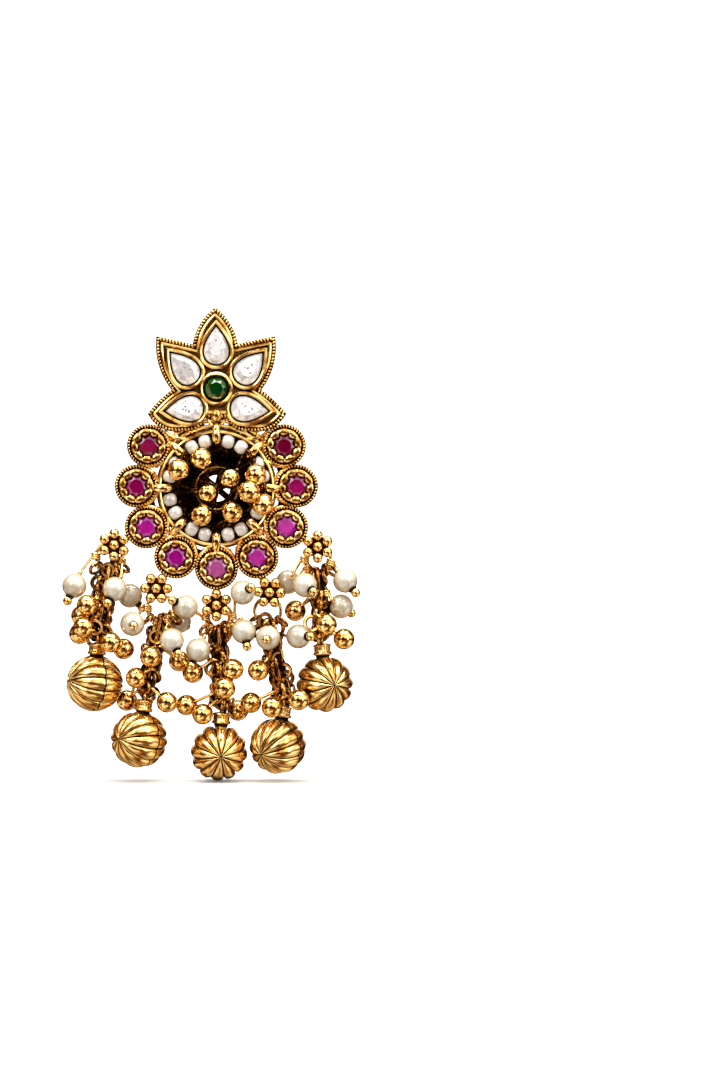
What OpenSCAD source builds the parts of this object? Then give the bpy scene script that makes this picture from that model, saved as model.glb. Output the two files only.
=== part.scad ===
// Dangle earring: a five-petal flower stud over a round openwork body with nine red stones,
// a bowl of gold balls in its middle, and five chains with pearls, gold balls and ribbed balls.
// Millimetres. +X is to the right of someone who looks at the front, the front faces -Y, +Z is up.
// The origin is the root of the ear post, on the back of the flower, level with the green stone.

/* [Flower] */
// Thickness of the flower's back plate
plate_t = 1.0; // [0.8:0.1:1.2]
// Height of the raised rim above the back face
flower_rim_h = 1.8; // [1.6:0.1:2.2]
// Width of the raised rim along the petals
flower_rim_w = 0.5; // [0.4:0.1:0.6]
// Height of the smooth bands round the stones above the back face
band_h = 2.2; // [2:0.1:2.6]
// Width of those bands
band_w = 0.7; // [0.5:0.1:0.8]
// Length of a pear stone
pear_len = 6.0; // [5.8:0.1:6.2]
// Width of a pear stone
pear_wid = 4.0; // [3.8:0.1:4.2]
// Diameter of the round green stone
green_d = 3.9; // [3.6:0.1:4]

/* [Round body] */
// Drop from the origin to the middle of the round body
body_drop = 15.9; // [15.7:0.1:16.1]
// Radius of the circle through the middles of the nine red stones
ruby_ring_r = 12.8; // [12.7:0.1:12.9]
// Angle from one red stone to the next
ruby_step = 30.5; // [30.3:0.1:30.6]
// Diameter of a red stone
ruby_d = 3.8; // [3.6:0.1:3.9]
// Radius of the round setting of a red stone
setting_r = 3.45; // [3.4:0.05:3.5]
// Thickness of the round body's plate
body_t = 0.8; // [0.7:0.1:0.9]
// Inner radius of the round body's inner rim
inner_rim_r = 9.0; // [8.95:0.05:9.05]
// Radius of the circle through the middles of the five bead rosettes
rosette_ring_r = 18.7; // [18.6:0.1:18.8]
// Diameter of the beads of a rosette
grain_d = 1.5; // [1.4:0.1:1.6]

/* [Cup] */
// Radius of the mouth of the fluted cup
cup_mouth_r = 6.2; // [6.1:0.1:6.3]
// Radius of the opening at the back of the cup
cup_back_r = 3.5; // [3.3:0.1:3.7]
// Depth of the cup behind the body's back face
cup_depth = 3.2; // [3:0.1:3.4]
// Number of flutes in the cup
flutes = 24; // [16:4:32]
// Radius of the wire circle that carries the seed pearls
seed_ring_r = 7.65; // [7.6:0.05:7.7]
// Diameter of a seed pearl
seed_d = 2.5; // [2.3:0.1:2.5]
// Width of a seed pearl along its wire
seed_w = 1.7; // [1.6:0.05:1.7]

/* [Dangles] */
// Diameter of a pearl
pearl_d = 3.9; // [3.8:0.1:3.9]
// Diameter of a small gold ball
drop_d = 3.2; // [3:0.1:3.2]
// Diameter of a ribbed ball
melon_d = 9.1; // [9:0.1:9.2]
// Number of ribs of a ribbed ball
melon_ribs = 12; // [10:1:14]
// Depth of the valleys between the ribs, as a share of the radius
rib_depth = 0.1; // [0.06:0.01:0.12]
// Wire of the large hoops
hoop_wire = 0.55; // [0.5:0.05:0.6]
// Radius of a large hoop, to the middle of its wire
hoop_r = 2.1; // [2.05:0.05:2.15]
// Wire of the chain links
link_wire = 0.5; // [0.45:0.05:0.5]
// Length of a chain link, from wire middle to wire middle
link_len = 4.0; // [3.95:0.05:4.05]
// Width of a chain link, from wire middle to wire middle
link_wid = 2.2; // [2.1:0.1:2.2]

/* [Ear post] */
// Diameter of the post
post_d = 0.8; // [0.7:0.05:0.9]
// Length of the post behind the flower
post_len = 9.5; // [9:0.5:11]

/* [Hidden] */
$fn = 48;
RUBIES = 9;
CLUSTERS = 5;
CUP_RINGS = 8;
gap = 0.1;
seat_gap = 0.15;
body_mid = [0, 0, -body_drop];

// The flower's outline, clockwise from the top tip.
// Columns: x, z, how far the side to the next corner bulges outwards.
flower_corners = [
    [-0.2, 13.0, 0.7],
    [3.4, 7.2, 0.0],
    [9.4, 8.4, 0.9],
    [7.2, -0.2, 0.2],
    [11.2, -4.0, 1.1],
    [5.4, -6.8, 0.8],
    [1.6, -4.7, 0.0],
    [-1.6, -4.7, 0.8],
    [-5.4, -6.8, 1.1],
    [-11.0, -4.0, 0.2],
    [-7.2, -0.2, 0.9],
    [-9.6, 8.4, 0.0],
    [-3.8, 7.1, 0.7],
];
SIDE_STEPS = 6;

// The pear stones. Columns: x, z, the direction in which the point looks.
pear_rows = [
    [0.0, 6.9, 90],
    [-5.3, 3.4, 133],
    [5.4, 3.4, 47],
    [-5.1, -3.3, 185],
    [5.3, -3.3, -5],
];
PEAR_NAMES = ["pear_stone_top", "pear_stone_upper_left", "pear_stone_upper_right",
              "pear_stone_lower_left", "pear_stone_lower_right"];
PEAR_STEP = 15;
PEAR_WIDEST = 0.77;
green_band_r = 2.65;
green_band_h = 2.5;

// The five dangles, from left to right.
// Columns: rosette angle about the body, hoop x, hoop z, ribbed ball x, ribbed ball z,
// lean of the ball's neck, the x and z of the ball's pole.
A_ROSETTE = 0; HOOP_X = 1; HOOP_Z = 2; BALL_X = 3; BALL_Z = 4; LEAN = 5; POLE_X = 6; POLE_Z = 7;
clusters = [
    [209, -17.2, -26.8, -19.5, -47.1, 4, -0.90, 0.10],
    [239, -9.0, -35.1, -12.4, -56.1, 8, -0.68, 0.03],
    [270, 0.4, -36.6, 0.4, -58.2, 4, 0.08, -0.13],
    [297, 8.2, -35.5, 9.8, -57.1, 8, -0.57, -0.30],
    [330, 16.2, -27.4, 17.3, -47.2, -4, 0.35, -0.04],
];
chain_y = 0.5;
LINKS = 4;
link_lap = 0.7;
link_turn = 90;

// What hangs on the chains. Columns: dangle, link (0 is the hoop), place on it, height on it,
// x, y, z of the middle of the pearl or ball, and for a pearl the way its pin leaves it.
// The place is an angle from the lowest point of a hoop, or a side of a link: -1 or 1.
D_CLUSTER = 0; D_LINK = 1; D_PLACE = 2; D_UP = 3; D_AT = 4; D_TIP = 7;
pearl_rows = [
    [0, 0, -90, 0, -22.7, -1.2, -31.5, -0.4, -0.3, -0.9],
    [0, 0, 70, 0, -16.2, -2.6, -32.0, -0.4, -0.4, -0.8],
    [0, 1, 1, 0.5, -13.9, 2.6, -33.1, 0.6, -0.1, -0.6],
    [1, 0, -90, 0, -13.4, -2.6, -37.6, 0.1, -1.0, -0.1],
    [1, 0, 30, 0, -7.1, -2.6, -40.2, 0.4, -0.5, -0.8],
    [1, 0, 60, 0, -6.1, 3.8, -37.2, 0.4, 0.9, -0.3],
    [2, 0, -90, 0, -4.9, -1.5, -34.9, -0.8, -0.5, 0.4],
    [2, 0, -50, 0, -2.9, -2.0, -41.8, -0.4, -0.2, -0.9],
    [2, 0, 95, 0, 4.2, -2.4, -32.6, 0.5, -0.8, 0.3],
    [2, 0, 60, 0, 4.4, -2.6, -38.8, 0.2, -0.5, -0.9],
    [3, 1, -1, 0.5, 8.3, -3.8, -39.8, -0.1, -1.0, -0.1],
    [3, 1, 1, 0, 13.1, -1.4, -39.6, 0.7, -0.7, 0],
    [4, 0, -50, 0, 14.2, -2.6, -31.4, 0.5, -0.8, -0.4],
    [4, 0, -90, 0, 11.4, 2.4, -30.9, -0.2, 0.9, -0.3],
    [4, 0, 78, 0, 20.6, 0.2, -30.7, 0.6, -0.4, -0.7],
    [4, 2, 1, 0.5, 19.9, 1.2, -34.8, 0.6, 0.7, -0.4],
];
drop_rows = [
    [0, 2, -1, -0.5, -20.6, -2.4, -34.6],
    [0, 3, 1, 0.5, -21.6, 0.6, -36.3],
    [0, 4, -1, -0.2, -21.2, -2.6, -38.1],
    [0, 4, -1, -0.7, -22.0, 2.7, -39.2],
    [0, 4, 1, -0.5, -16.9, -2.6, -40.5],
    [0, 4, 1, 0.5, -14.9, 1.0, -41.6],
    [1, 2, -1, -0.3, -10.5, -2.6, -42.8],
    [1, 3, -1, -0.5, -12.8, -1.5, -46.2],
    [1, 4, -1, -0.6, -14.4, 3.0, -49.9],
    [1, 4, 1, -0.5, -7.9, -1.6, -50.1],
    [1, 2, 1, 0.3, -6.0, 2.9, -43.6],
    [2, 2, 1, -0.5, 2.7, -2.6, -44.8],
    [2, 3, -1, -0.3, 1.3, -3.0, -47.8],
    [2, 4, -1, 0.5, -4.8, 0.6, -50.6],
    [2, 4, -1, -0.5, -2.2, -1.4, -52.0],
    [2, 4, 1, -0.5, 3.4, 2.6, -51.5],
    [2, 2, -1, -0.3, -3.8, 1.0, -45.4],
    [3, 2, -1, -0.5, 6.7, -2.0, -45.0],
    [3, 4, -1, 0, 5.5, -0.2, -50.2],
    [3, 4, -1, -0.7, 8.9, -3.0, -50.9],
    [3, 4, 1, 0.3, 13.2, -3.6, -49.7],
    [4, 3, -1, -0.3, 17.6, -2.8, -37.7],
    [4, 4, 1, -0.5, 20.4, -1.0, -40.0],
    [4, 2, -1, 0, 12.6, 2.0, -35.5],
];

// The gold balls in the cup. Columns: cup ring (0 is at the top, then clockwise),
// how far in front of the ring's innermost point it hangs, x, y, z.
cup_ball_rows = [
    [0, 0, -2.4, -2.9, -11.2],
    [7, 70, -6.0, -3.6, -13.0],
    [1, 0, 2.2, -1.2, -14.3],
    [6, 0, -1.4, -0.8, -16.7],
    [2, 0, 5.3, -5.4, -16.5],
    [2, 70, 7.5, -3.7, -18.5],
    [5, 0, -2.3, -2.4, -20.2],
    [4, 0, 2.5, -2.2, -19.7],
    [1, 70, 6.3, -3.6, -13.8],
];

wire_d = 0.4;
eye_wire = 0.3;
eye_r = 0.6;
tip_d = 1.5;
ring_wire = 0.6;
ring_r = 1.5;
ring_mid_r = 8.4;
ring_mid_y = -0.4;
seed_wire_y = -0.95;
seed_half_angle = 8.5;
neck_h = 1.9;
neck_r = 1.5;
loop_r = 0.85;
loop_wire = 0.5;

gold = [0.78, 0.58, 0.24];
old_gold = [0.45, 0.31, 0.13];
pearl_white = [0.93, 0.89, 0.82];
clear_white = [0.92, 0.93, 0.95];
green = [0.03, 0.42, 0.16];

// Shapes drawn in the XZ plane and raised towards the front, between two heights above the back face.
module raised(from, to) {
    translate([0, -from, 0]) rotate([90, 0, 0]) linear_extrude(to - from) children();
}

function unit(v) = v / norm(v);

// A matrix that lays local Z along aim and local X as near as it can to side.
function aimed(at, aim, side) =
    let (z = unit(aim), x = unit(side - z * (side * z)), y = cross(z, x))
    [[x.x, y.x, z.x, at.x], [x.y, y.y, z.y, at.y], [x.z, y.z, z.z, at.z], [0, 0, 0, 1]];

module torus(r, wire) {
    rotate_extrude() translate([r, 0]) circle(d = wire);
}

// Points from a towards b, without b, bulging outwards on the left of the way.
function side_points(a, b, bulge) =
    let (d = b - a, out = [-d.y, d.x] / norm(d), n = bulge == 0 ? 1 : SIDE_STEPS)
    [for (i = [0 : n - 1]) let (t = i / n) a + d * t + out * 4 * bulge * t * (1 - t)];

function outline_points(rows) = [
    for (i = [0 : len(rows) - 1])
        let (here = rows[i], next = rows[(i + 1) % len(rows)])
        each side_points([here[0], here[1]], [next[0], next[1]], here[2])
];

// A pear outline about the middle of its length, with its point towards +X.
function pear_points(length, width) = [
    for (t = [0 : PEAR_STEP : 360 - PEAR_STEP])
        [length / 2 * cos(t), width / 2 / PEAR_WIDEST * sin(t) * sin(t / 2)]
];

module pear_at(row, grow) {
    translate([row[0], row[1]]) rotate(row[2])
        polygon(pear_points(pear_len + 2 * grow, pear_wid + 2 * grow));
}

// A cut stone: rings of one outline at growing heights, with a flat back and a flat table.
// Each ring is [scale, height].
module cut_stone(outline, rings) {
    n = len(outline);
    points = [for (ring = rings, p = outline) [p.x * ring[0], -ring[1], p.y * ring[0]]];
    last = len(rings) - 1;
    walls = [
        for (k = [0 : last - 1], i = [0 : n - 1])
            let (j = (i + 1) % n)
            [k * n + i, k * n + j, (k + 1) * n + j, (k + 1) * n + i]
    ];
    back = [for (i = [n - 1 : -1 : 0]) i];
    table = [for (i = [0 : n - 1]) last * n + i];
    polyhedron(points, concat([back], walls, [table]));
}

module flower_outline() {
    polygon(outline_points(flower_corners));
}

module flower_casting() {
    difference() {
        union() {
            raised(0, plate_t) flower_outline();
            raised(plate_t - gap, flower_rim_h) difference() {
                flower_outline();
                offset(delta = -flower_rim_w) flower_outline();
            }
            for (row = pear_rows) raised(plate_t - gap, band_h) pear_at(row, seat_gap + band_w);
            raised(plate_t - gap, green_band_h) circle(r = green_band_r);
            link_bead();
        }
        for (row = pear_rows) raised(plate_t, band_h + 1) pear_at(row, seat_gap);
        raised(plate_t, green_band_h + 1) circle(d = green_d + 2 * gap);
    }
}

// The small barrel bead under the green stone.
module link_bead() {
    bead_r = 0.95;
    translate([0, -plate_t - 0.2, -4.2]) rotate_extrude()
        polygon([[0, -bead_r], [0.6, -bead_r], [bead_r, -0.5], [bead_r, 0.5], [0.6, bead_r], [0, bead_r]]);
}

// Round setting of a red stone, on its own middle: floor, rope rim, and an inner wall
// that ends in nine lobes over the edge of the stone, so that the opening is a star.
module ruby_setting() {
    wall_r = 2.72;
    lobes = 9;
    lobe_r = 0.76;
    lobe_ring_r = 2.15;
    seat_r = ruby_d / 2 + gap;
    raised(0, body_t) circle(r = setting_r);
    raised(body_t - gap, 1.6) difference() {
        circle(r = setting_r - 0.05);
        circle(r = 2.95);
    }
    raised(body_t - gap, 2.0) difference() {
        circle(r = wall_r);
        circle(r = seat_r);
    }
    raised(1.6, 2.0) difference() {
        circle(r = wall_r - 0.05);
        difference() {
            circle(r = seat_r - 0.05);
            for (i = [0 : lobes - 1]) rotate(360 / lobes * (i + 0.5)) translate([lobe_ring_r, 0]) circle(r = lobe_r);
        }
    }
}

function ruby_angle(i) = 270 + (i - (RUBIES - 1) / 2) * -ruby_step;

// Places its children at an angle on a circle about the middle of the round body.
module on_body(angle, r) {
    translate(body_mid) rotate([0, -angle, 0]) translate([r, 0, 0]) children();
}

// Six beads round a seventh on a round plate, with an eye behind for the hoop.
module rosette(k) {
    row = clusters[k];
    grains = 6;
    grain_ring_r = 1.8;
    grain_lift = 0.9;
    on_body(row[A_ROSETTE], rosette_ring_r) {
        raised(0, 0.6) circle(r = 2.1);
        for (i = [0 : grains])
            rotate([0, 60 * i, 0]) translate([i == grains ? 0 : grain_ring_r, -grain_lift, 0]) sphere(d = grain_d);
    }
    on_body(row[A_ROSETTE], (ruby_ring_r + rosette_ring_r) / 2 + 0.5)
        translate([-1.3, -0.6, -0.6]) cube([2.6, 0.6, 1.2]);
    translate([row[HOOP_X], chain_y, row[HOOP_Z] + hoop_r]) rotate([0, 90, 0]) torus(0.62, 0.4);
}

// The inner rim with its wider top arc, the nine settings and the five rosettes.
module body_casting() {
    rim_w = 0.8;
    arc_w = 1.85;
    arc_angle = 112;
    difference() {
        union() {
            translate(body_mid) raised(0, body_t) difference() {
                circle(r = inner_rim_r + rim_w, $fn = 96);
                circle(r = inner_rim_r, $fn = 96);
            }
            translate(body_mid) rotate([90, 0, 0]) rotate([0, 0, 90 - arc_angle / 2])
                rotate_extrude(angle = arc_angle, $fn = 96) translate([inner_rim_r + 0.05, 0])
                    square([arc_w, body_t + 0.1]);
            for (i = [0 : RUBIES - 1]) on_body(ruby_angle(i), ruby_ring_r) ruby_setting();
            for (k = [0 : CLUSTERS - 1]) rosette(k);
        }
        for (i = [0 : CUP_RINGS - 1])
            on_body(i * 360 / CUP_RINGS, ring_mid_r + ring_r) translate([-0.5, 0, -0.5]) {
                translate([0, -3, 0]) cube([0.93, 4, 1]);
                translate([-1, -3, 0]) cube([1.6, 3 - body_t - 0.02, 1]);
            }
        for (angle = [55, 67.5, 79, 101, 112.5, 125])
            on_body(angle, 10.1) raised(-1, 2) circle(r = 0.35, $fn = 24);
    }
}

module cast_frame() {
    color(gold) union() {
        flower_casting();
        body_casting();
    }
}

module pear_stone(i) {
    row = pear_rows[i];
    color(clear_white) translate([row[0], 0, row[1]]) rotate([0, -row[2], 0])
        cut_stone(pear_points(pear_len, pear_wid),
                  [[0.8, plate_t + gap], [1, 1.7], [0.82, 2.05], [0.58, 2.25]]);
}

function round_points(d, n) = [for (i = [0 : n - 1]) [cos(360 / n * i), sin(360 / n * i)] * d / 2];

module green_stone() {
    color(green) cut_stone(round_points(green_d, 16), [[0.8, plate_t + gap], [1, 1.8], [0.84, 2.3], [0.58, 2.5]]);
}

// The red stones run from dark crimson at the top to pale pink at the bottom.
module red_stone(i) {
    from_bottom = abs(i - (RUBIES - 1) / 2) / 4;
    color([0.78 - 0.25 * from_bottom, 0.28 - 0.24 * from_bottom, 0.55 - 0.37 * from_bottom])
        on_body(ruby_angle(i), ruby_ring_r)
            cut_stone(round_points(ruby_d, 16), [[0.8, body_t + gap], [1, 1.15], [0.84, 1.4], [0.6, 1.5]]);
}

// A fluted bowl open at both ends. Its flange lies behind the body's inner rim, with holes for the rings.
module cup() {
    wall = 0.3;
    flange_r = 9.1;
    flute_w = 0.3;
    lean = atan2(cup_mouth_r - cup_back_r, cup_depth - gap);
    slope = norm([cup_mouth_r - cup_back_r, cup_depth - gap]);
    color(old_gold) translate(body_mid) difference() {
        union() {
            rotate([90, 0, 0]) rotate_extrude($fn = 96) polygon([
                [cup_mouth_r, -gap], [flange_r, -gap], [flange_r, -gap - wall],
                [cup_mouth_r + 0.2, -gap - wall], [cup_back_r + wall, -cup_depth - gap],
                [cup_back_r - 0.1, -cup_depth - gap], [cup_back_r - 0.1, -cup_depth + 0.2],
            ]);
            for (i = [0 : flutes - 1])
                rotate([0, 360 / flutes * (i + 0.5), 0]) translate([cup_mouth_r + 0.1, gap + 0.15, 0])
                    rotate([0, 0, lean]) translate([-0.25, 0.1, -flute_w / 2]) cube([0.4, slope - 0.5, flute_w]);
        }
        for (i = [0 : CUP_RINGS - 1])
            rotate([0, -i * 360 / CUP_RINGS, 0]) translate([ring_mid_r - ring_r - 0.45, -1, -0.5])
                cube([1.3, 3, 1]);
    }
}

function ring_angle(i) = 90 - i * 360 / CUP_RINGS;

// Eight rings, each round the body's inner rim, the cup's flange and the wire of the seed pearls.
module cup_rings() {
    color(gold) for (i = [0 : CUP_RINGS - 1])
        on_body(ring_angle(i), ring_mid_r) translate([0, ring_mid_y, 0]) torus(ring_r, ring_wire);
}

module seed_wire() {
    color(gold) translate(body_mid + [0, seed_wire_y, 0]) rotate([90, 0, 0]) torus(seed_ring_r, 0.3, $fn = 96);
}

module seed_pearls() {
    color(pearl_white) for (i = [0 : CUP_RINGS - 1], side = [-1, 1])
        on_body((i + 0.5) * 360 / CUP_RINGS + side * seed_half_angle, seed_ring_r)
            translate([0, seed_wire_y, 0]) difference() {
                intersection() {
                    sphere(d = seed_d);
                    cube([seed_d + 1, seed_w, seed_w], center = true);
                }
                cylinder(d = 0.65, h = seed_w + 1, center = true);
            }
}

// The way from a wire that runs along tangent, straight off it, towards at.
function off_wire(hook, tangent, at) = let (to = at - hook) unit(to - tangent * (to * tangent));
function eye_exit(hook, tangent, at) = hook + off_wire(hook, tangent, at) * eye_r;

// An eye round a wire at hook, with its stem's side towards at.
module eye(hook, tangent, at) {
    multmatrix(aimed(hook, off_wire(hook, tangent, at), tangent)) rotate([0, 90, 0]) torus(eye_r, eye_wire);
}

module rod(from, to, d) {
    way = to - from;
    side = abs(unit(way).x) > 0.8 ? [0, 0, 1] : [1, 0, 0];
    multmatrix(aimed(from, way, side)) cylinder(d = d, h = norm(way));
}

function square_to(v) = unit(cross(v, abs(v.z) > abs(v.x) ? [1, 0, 0] : [0, 0, 1]));

// A ball at a wire's end. Its seam is turned away from the wire, which comes from entry.
module end_ball(at, entry, d) {
    multmatrix(aimed(at, square_to(entry - at), at - entry)) sphere(d = d);
}

// A ball where two wires meet. Its seam is turned away from both, which come from the directions a and b.
module bend_ball(at, a, b, d) {
    seam = norm(a + b) > 0.2 ? -(a + b) : square_to(a - b);
    multmatrix(aimed(at, cross(a - b, seam), seam)) sphere(d = d);
}

// A ball on a stem whose eye goes round a wire at hook.
module eyed_ball(hook, tangent, at, d) {
    exit = eye_exit(hook, tangent, at);
    eye(hook, tangent, at);
    rod(exit, at + unit(exit - at) * d / 4, wire_d);
    end_ball(at, exit, d);
}

module cup_balls() {
    color(gold) for (row = cup_ball_rows) {
        a = ring_angle(row[0]);
        front = row[1];
        along = [cos(a), 0, sin(a)];
        hook = body_mid + [0, ring_mid_y - ring_r * sin(front), 0] + along * (ring_mid_r - ring_r * cos(front));
        tangent = [0, cos(front), 0] - along * sin(front);
        eyed_ball(hook, tangent, [row[2], row[3], row[4]], drop_d);
    }
}

// The line of a chain: from the hoop's lowest point to the top of the loop on the ribbed ball.
function hoop_mid(k) = [clusters[k][HOOP_X], chain_y, clusters[k][HOOP_Z]];
function ball_mid(k) = [clusters[k][BALL_X], chain_y, clusters[k][BALL_Z]];
function neck_dir(k) = [sin(clusters[k][LEAN]), 0, cos(clusters[k][LEAN])];
function chain_top(k) = hoop_mid(k) - [0, 0, hoop_r];
function loop_mid(k) = ball_mid(k) + neck_dir(k) * (melon_d / 2 + neck_h + 0.45);
function chain_end(k) = loop_mid(k) + [0, 0, loop_r];
function chain_up(k) = unit(chain_top(k) - chain_end(k));
function link_pitch(k) = (norm(chain_top(k) - chain_end(k)) + 2 * link_lap - link_len) / (LINKS - 1);
function link_mid(k, j) = chain_top(k) + chain_up(k) * (link_lap - link_len / 2 - link_pitch(k) * (j - 1));
function link_side(k, j) =
    let (t = link_turn * (j % 2), s = [cos(t), sin(t), 0], u = chain_up(k)) unit(s - u * (s * u));

// Where the middle of a link's or hoop's wire lies, for one row of the tables, and the wire's direction there.
function station(row) =
    let (k = row[D_CLUSTER], j = row[D_LINK], a = row[D_PLACE])
    j == 0 ? hoop_mid(k) + [sin(a), 0, -cos(a)] * hoop_r
           : link_mid(k, j) + chain_up(k) * row[D_UP] + link_side(k, j) * a * link_wid / 2;
function station_tangent(row) =
    row[D_LINK] == 0 ? [cos(row[D_PLACE]), 0, sin(row[D_PLACE])] : chain_up(row[D_CLUSTER]);
function row_at(row) = [row[D_AT], row[D_AT + 1], row[D_AT + 2]];
function row_tip(row) = unit([row[D_TIP], row[D_TIP + 1], row[D_TIP + 2]]);

module hoop(k) {
    color(gold) translate(hoop_mid(k)) rotate([90, 0, 0]) torus(hoop_r, hoop_wire);
}

// An oval link with its length along Z and its width along X.
module oval_link() {
    straight = link_len - link_wid;
    for (end = [0, 180]) rotate([0, end, 0]) translate([0, 0, straight / 2]) rotate([90, 0, 0])
        rotate_extrude(angle = 180) translate([link_wid / 2, 0]) circle(d = link_wire);
    for (side = [-1, 1]) translate([side * link_wid / 2, 0, 0]) cylinder(d = link_wire, h = straight, center = true);
}

module chain(k) {
    color(gold) for (j = [1 : LINKS])
        multmatrix(aimed(link_mid(k, j), chain_up(k), link_side(k, j))) oval_link();
}

module pearls(k) {
    color(pearl_white) for (row = pearl_rows) if (row[D_CLUSTER] == k)
        multmatrix(aimed(row_at(row), row_tip(row), [0.1, 0, 1])) difference() {
            sphere(d = pearl_d);
            cylinder(d = wire_d + 2 * gap, h = pearl_d + 1, center = true);
        }
}

// Head pins: an eye round the link, a bend behind the pearl, a wire through it and a ball at the far end.
module pearl_pins(k) {
    color(gold) for (row = pearl_rows) if (row[D_CLUSTER] == k) {
        hook = station(row);
        tangent = station_tangent(row);
        bend = row_at(row) - row_tip(row) * (pearl_d / 2 + 0.4);
        tip = row_at(row) + row_tip(row) * (pearl_d / 2 + tip_d / 2 + gap / 2);
        exit = eye_exit(hook, tangent, bend);
        eye(hook, tangent, bend);
        rod(exit, bend, wire_d);
        bend_ball(bend, unit(exit - bend), row_tip(row), 0.6);
        rod(bend, tip, wire_d);
        end_ball(tip, bend, tip_d);
    }
}

module gold_drops(k) {
    color(gold) for (row = drop_rows) if (row[D_CLUSTER] == k)
        eyed_ball(station(row), station_tangent(row), row_at(row), drop_d);
}

// A ball of ribs that run from pole to pole, with a groove where its two halves meet.
// Its poles are on the local Z axis.
module ribbed_sphere() {
    columns = 4 * melon_ribs;
    lats = [80, 66, 52, 38, 24, 10, 3, 0, -3, -10, -24, -38, -52, -66, -80];
    seam = 0.04;
    r = melon_d / 2;
    reach = function(lat, lon) r * (1 - rib_depth * cos(lat) * (1 - abs(cos(melon_ribs / 2 * lon)))
        - (lat == 0 ? seam : 0));
    rows = len(lats);
    points = concat(
        [for (lat = lats, c = [0 : columns - 1])
            let (lon = 360 / columns * c) reach(lat, lon) * [cos(lat) * cos(lon), cos(lat) * sin(lon), sin(lat)]],
        [[0, 0, r * 0.98], [0, 0, -r * 0.98]]
    );
    top = rows * columns;
    sides = [for (k = [0 : rows - 2], c = [0 : columns - 1])
        let (d = (c + 1) % columns)
        [k * columns + c, k * columns + d, (k + 1) * columns + d, (k + 1) * columns + c]];
    caps = [for (c = [0 : columns - 1])
        let (d = (c + 1) % columns)
        each [[top, d, c], [top + 1, (rows - 1) * columns + c, (rows - 1) * columns + d]]];
    polyhedron(points, concat(sides, caps));
}

module ribbed_ball(k) {
    row = clusters[k];
    pole = [row[POLE_X], -sqrt(1 - pow(row[POLE_X], 2) - pow(row[POLE_Z], 2)), row[POLE_Z]];
    color(gold) {
        multmatrix(aimed(ball_mid(k), pole, neck_dir(k))) ribbed_sphere();
        multmatrix(aimed(ball_mid(k), neck_dir(k), [0, 1, 0])) {
            translate([0, 0, melon_d / 2]) rotate_extrude() polygon([
                [0, -0.7], [neck_r - 0.3, -0.7], [neck_r - 0.3, 0], [neck_r, 0.3], [neck_r, 0.7],
                [neck_r - 0.25, 0.95], [neck_r, 1.2], [neck_r, 1.5], [neck_r - 0.4, neck_h], [0, neck_h],
            ]);
        }
        translate(loop_mid(k)) rotate([0, 90, 0]) torus(loop_r, loop_wire);
    }
}

// Plain post with a small pad against the flower's back.
module ear_post() {
    pad_r = 2.0;
    pad_t = 0.4;
    color(gold) rotate([-90, 0, 0]) {
        translate([0, 0, gap / 2]) cylinder(r = pad_r, h = pad_t);
        translate([0, 0, pad_t]) cylinder(d = post_d, h = post_len - pad_t);
    }
}

cast_frame();
for (i = [0 : len(PEAR_NAMES) - 1]) pear_stone(i);
green_stone();
for (i = [0 : RUBIES - 1]) red_stone(i);
cup();
cup_rings();
seed_wire();
seed_pearls();
cup_balls();
for (k = [0 : CLUSTERS - 1]) {
    hoop(k);
    chain(k);
    pearls(k);
    pearl_pins(k);
    gold_drops(k);
    ribbed_ball(k);
}
ear_post();
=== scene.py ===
"""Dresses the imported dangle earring: cast flower and body, cut stones, cup, chains, pearls and ribbed balls.

Forms are worked out in millimetres, in the frame of the CAD model, and turned into metres when they are
finished. +X is to the right of someone who looks at the front, the front faces -Y and +Z is up.
"""

from __future__ import annotations

import logging
import math
import random
from collections.abc import Iterable, Sequence
from dataclasses import dataclass, field
from enum import Enum
from typing import NamedTuple

import bmesh
import bpy
from mathutils import Matrix, Vector

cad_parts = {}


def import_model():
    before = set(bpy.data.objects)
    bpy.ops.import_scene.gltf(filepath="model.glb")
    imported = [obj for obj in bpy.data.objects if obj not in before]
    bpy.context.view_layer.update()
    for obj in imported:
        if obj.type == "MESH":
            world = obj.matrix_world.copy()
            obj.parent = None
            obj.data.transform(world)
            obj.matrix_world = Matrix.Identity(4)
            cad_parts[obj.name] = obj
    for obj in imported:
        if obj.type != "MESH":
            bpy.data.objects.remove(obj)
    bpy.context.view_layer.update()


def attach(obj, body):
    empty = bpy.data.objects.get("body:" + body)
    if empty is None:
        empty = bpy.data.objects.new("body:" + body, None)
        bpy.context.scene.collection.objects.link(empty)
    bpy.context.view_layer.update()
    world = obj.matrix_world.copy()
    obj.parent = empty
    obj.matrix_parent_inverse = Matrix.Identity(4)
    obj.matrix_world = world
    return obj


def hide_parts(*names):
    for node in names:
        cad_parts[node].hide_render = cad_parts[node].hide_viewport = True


Point2 = tuple[float, float]
Triple = tuple[float, float, float]
Colour = tuple[float, float, float]
Stops = Sequence[tuple[float, Colour]]
Tree = bpy.types.NodeTree
Socket = bpy.types.NodeSocket

LOG = logging.getLogger("dangle_earring")
TAU = math.tau
# Metres in a millimetre
MM = 0.001
# Points that lie closer than this, in millimetres, are welded into one
WELD = 0.0005
# The middle of the round body, on its back face
BODY_MID = Vector((0.0, 0.0, -15.9))
# The middle of each hoop: how far to the right and how far up
HOOPS: tuple[Point2, ...] = ((-17.2, -26.8), (-9.0, -35.1), (0.4, -36.6), (8.2, -35.5), (16.2, -27.4))
# The CAD node of all that is soldered into one casting
CAST = "cast_frame"
SHADER = "Principled BSDF"
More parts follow.
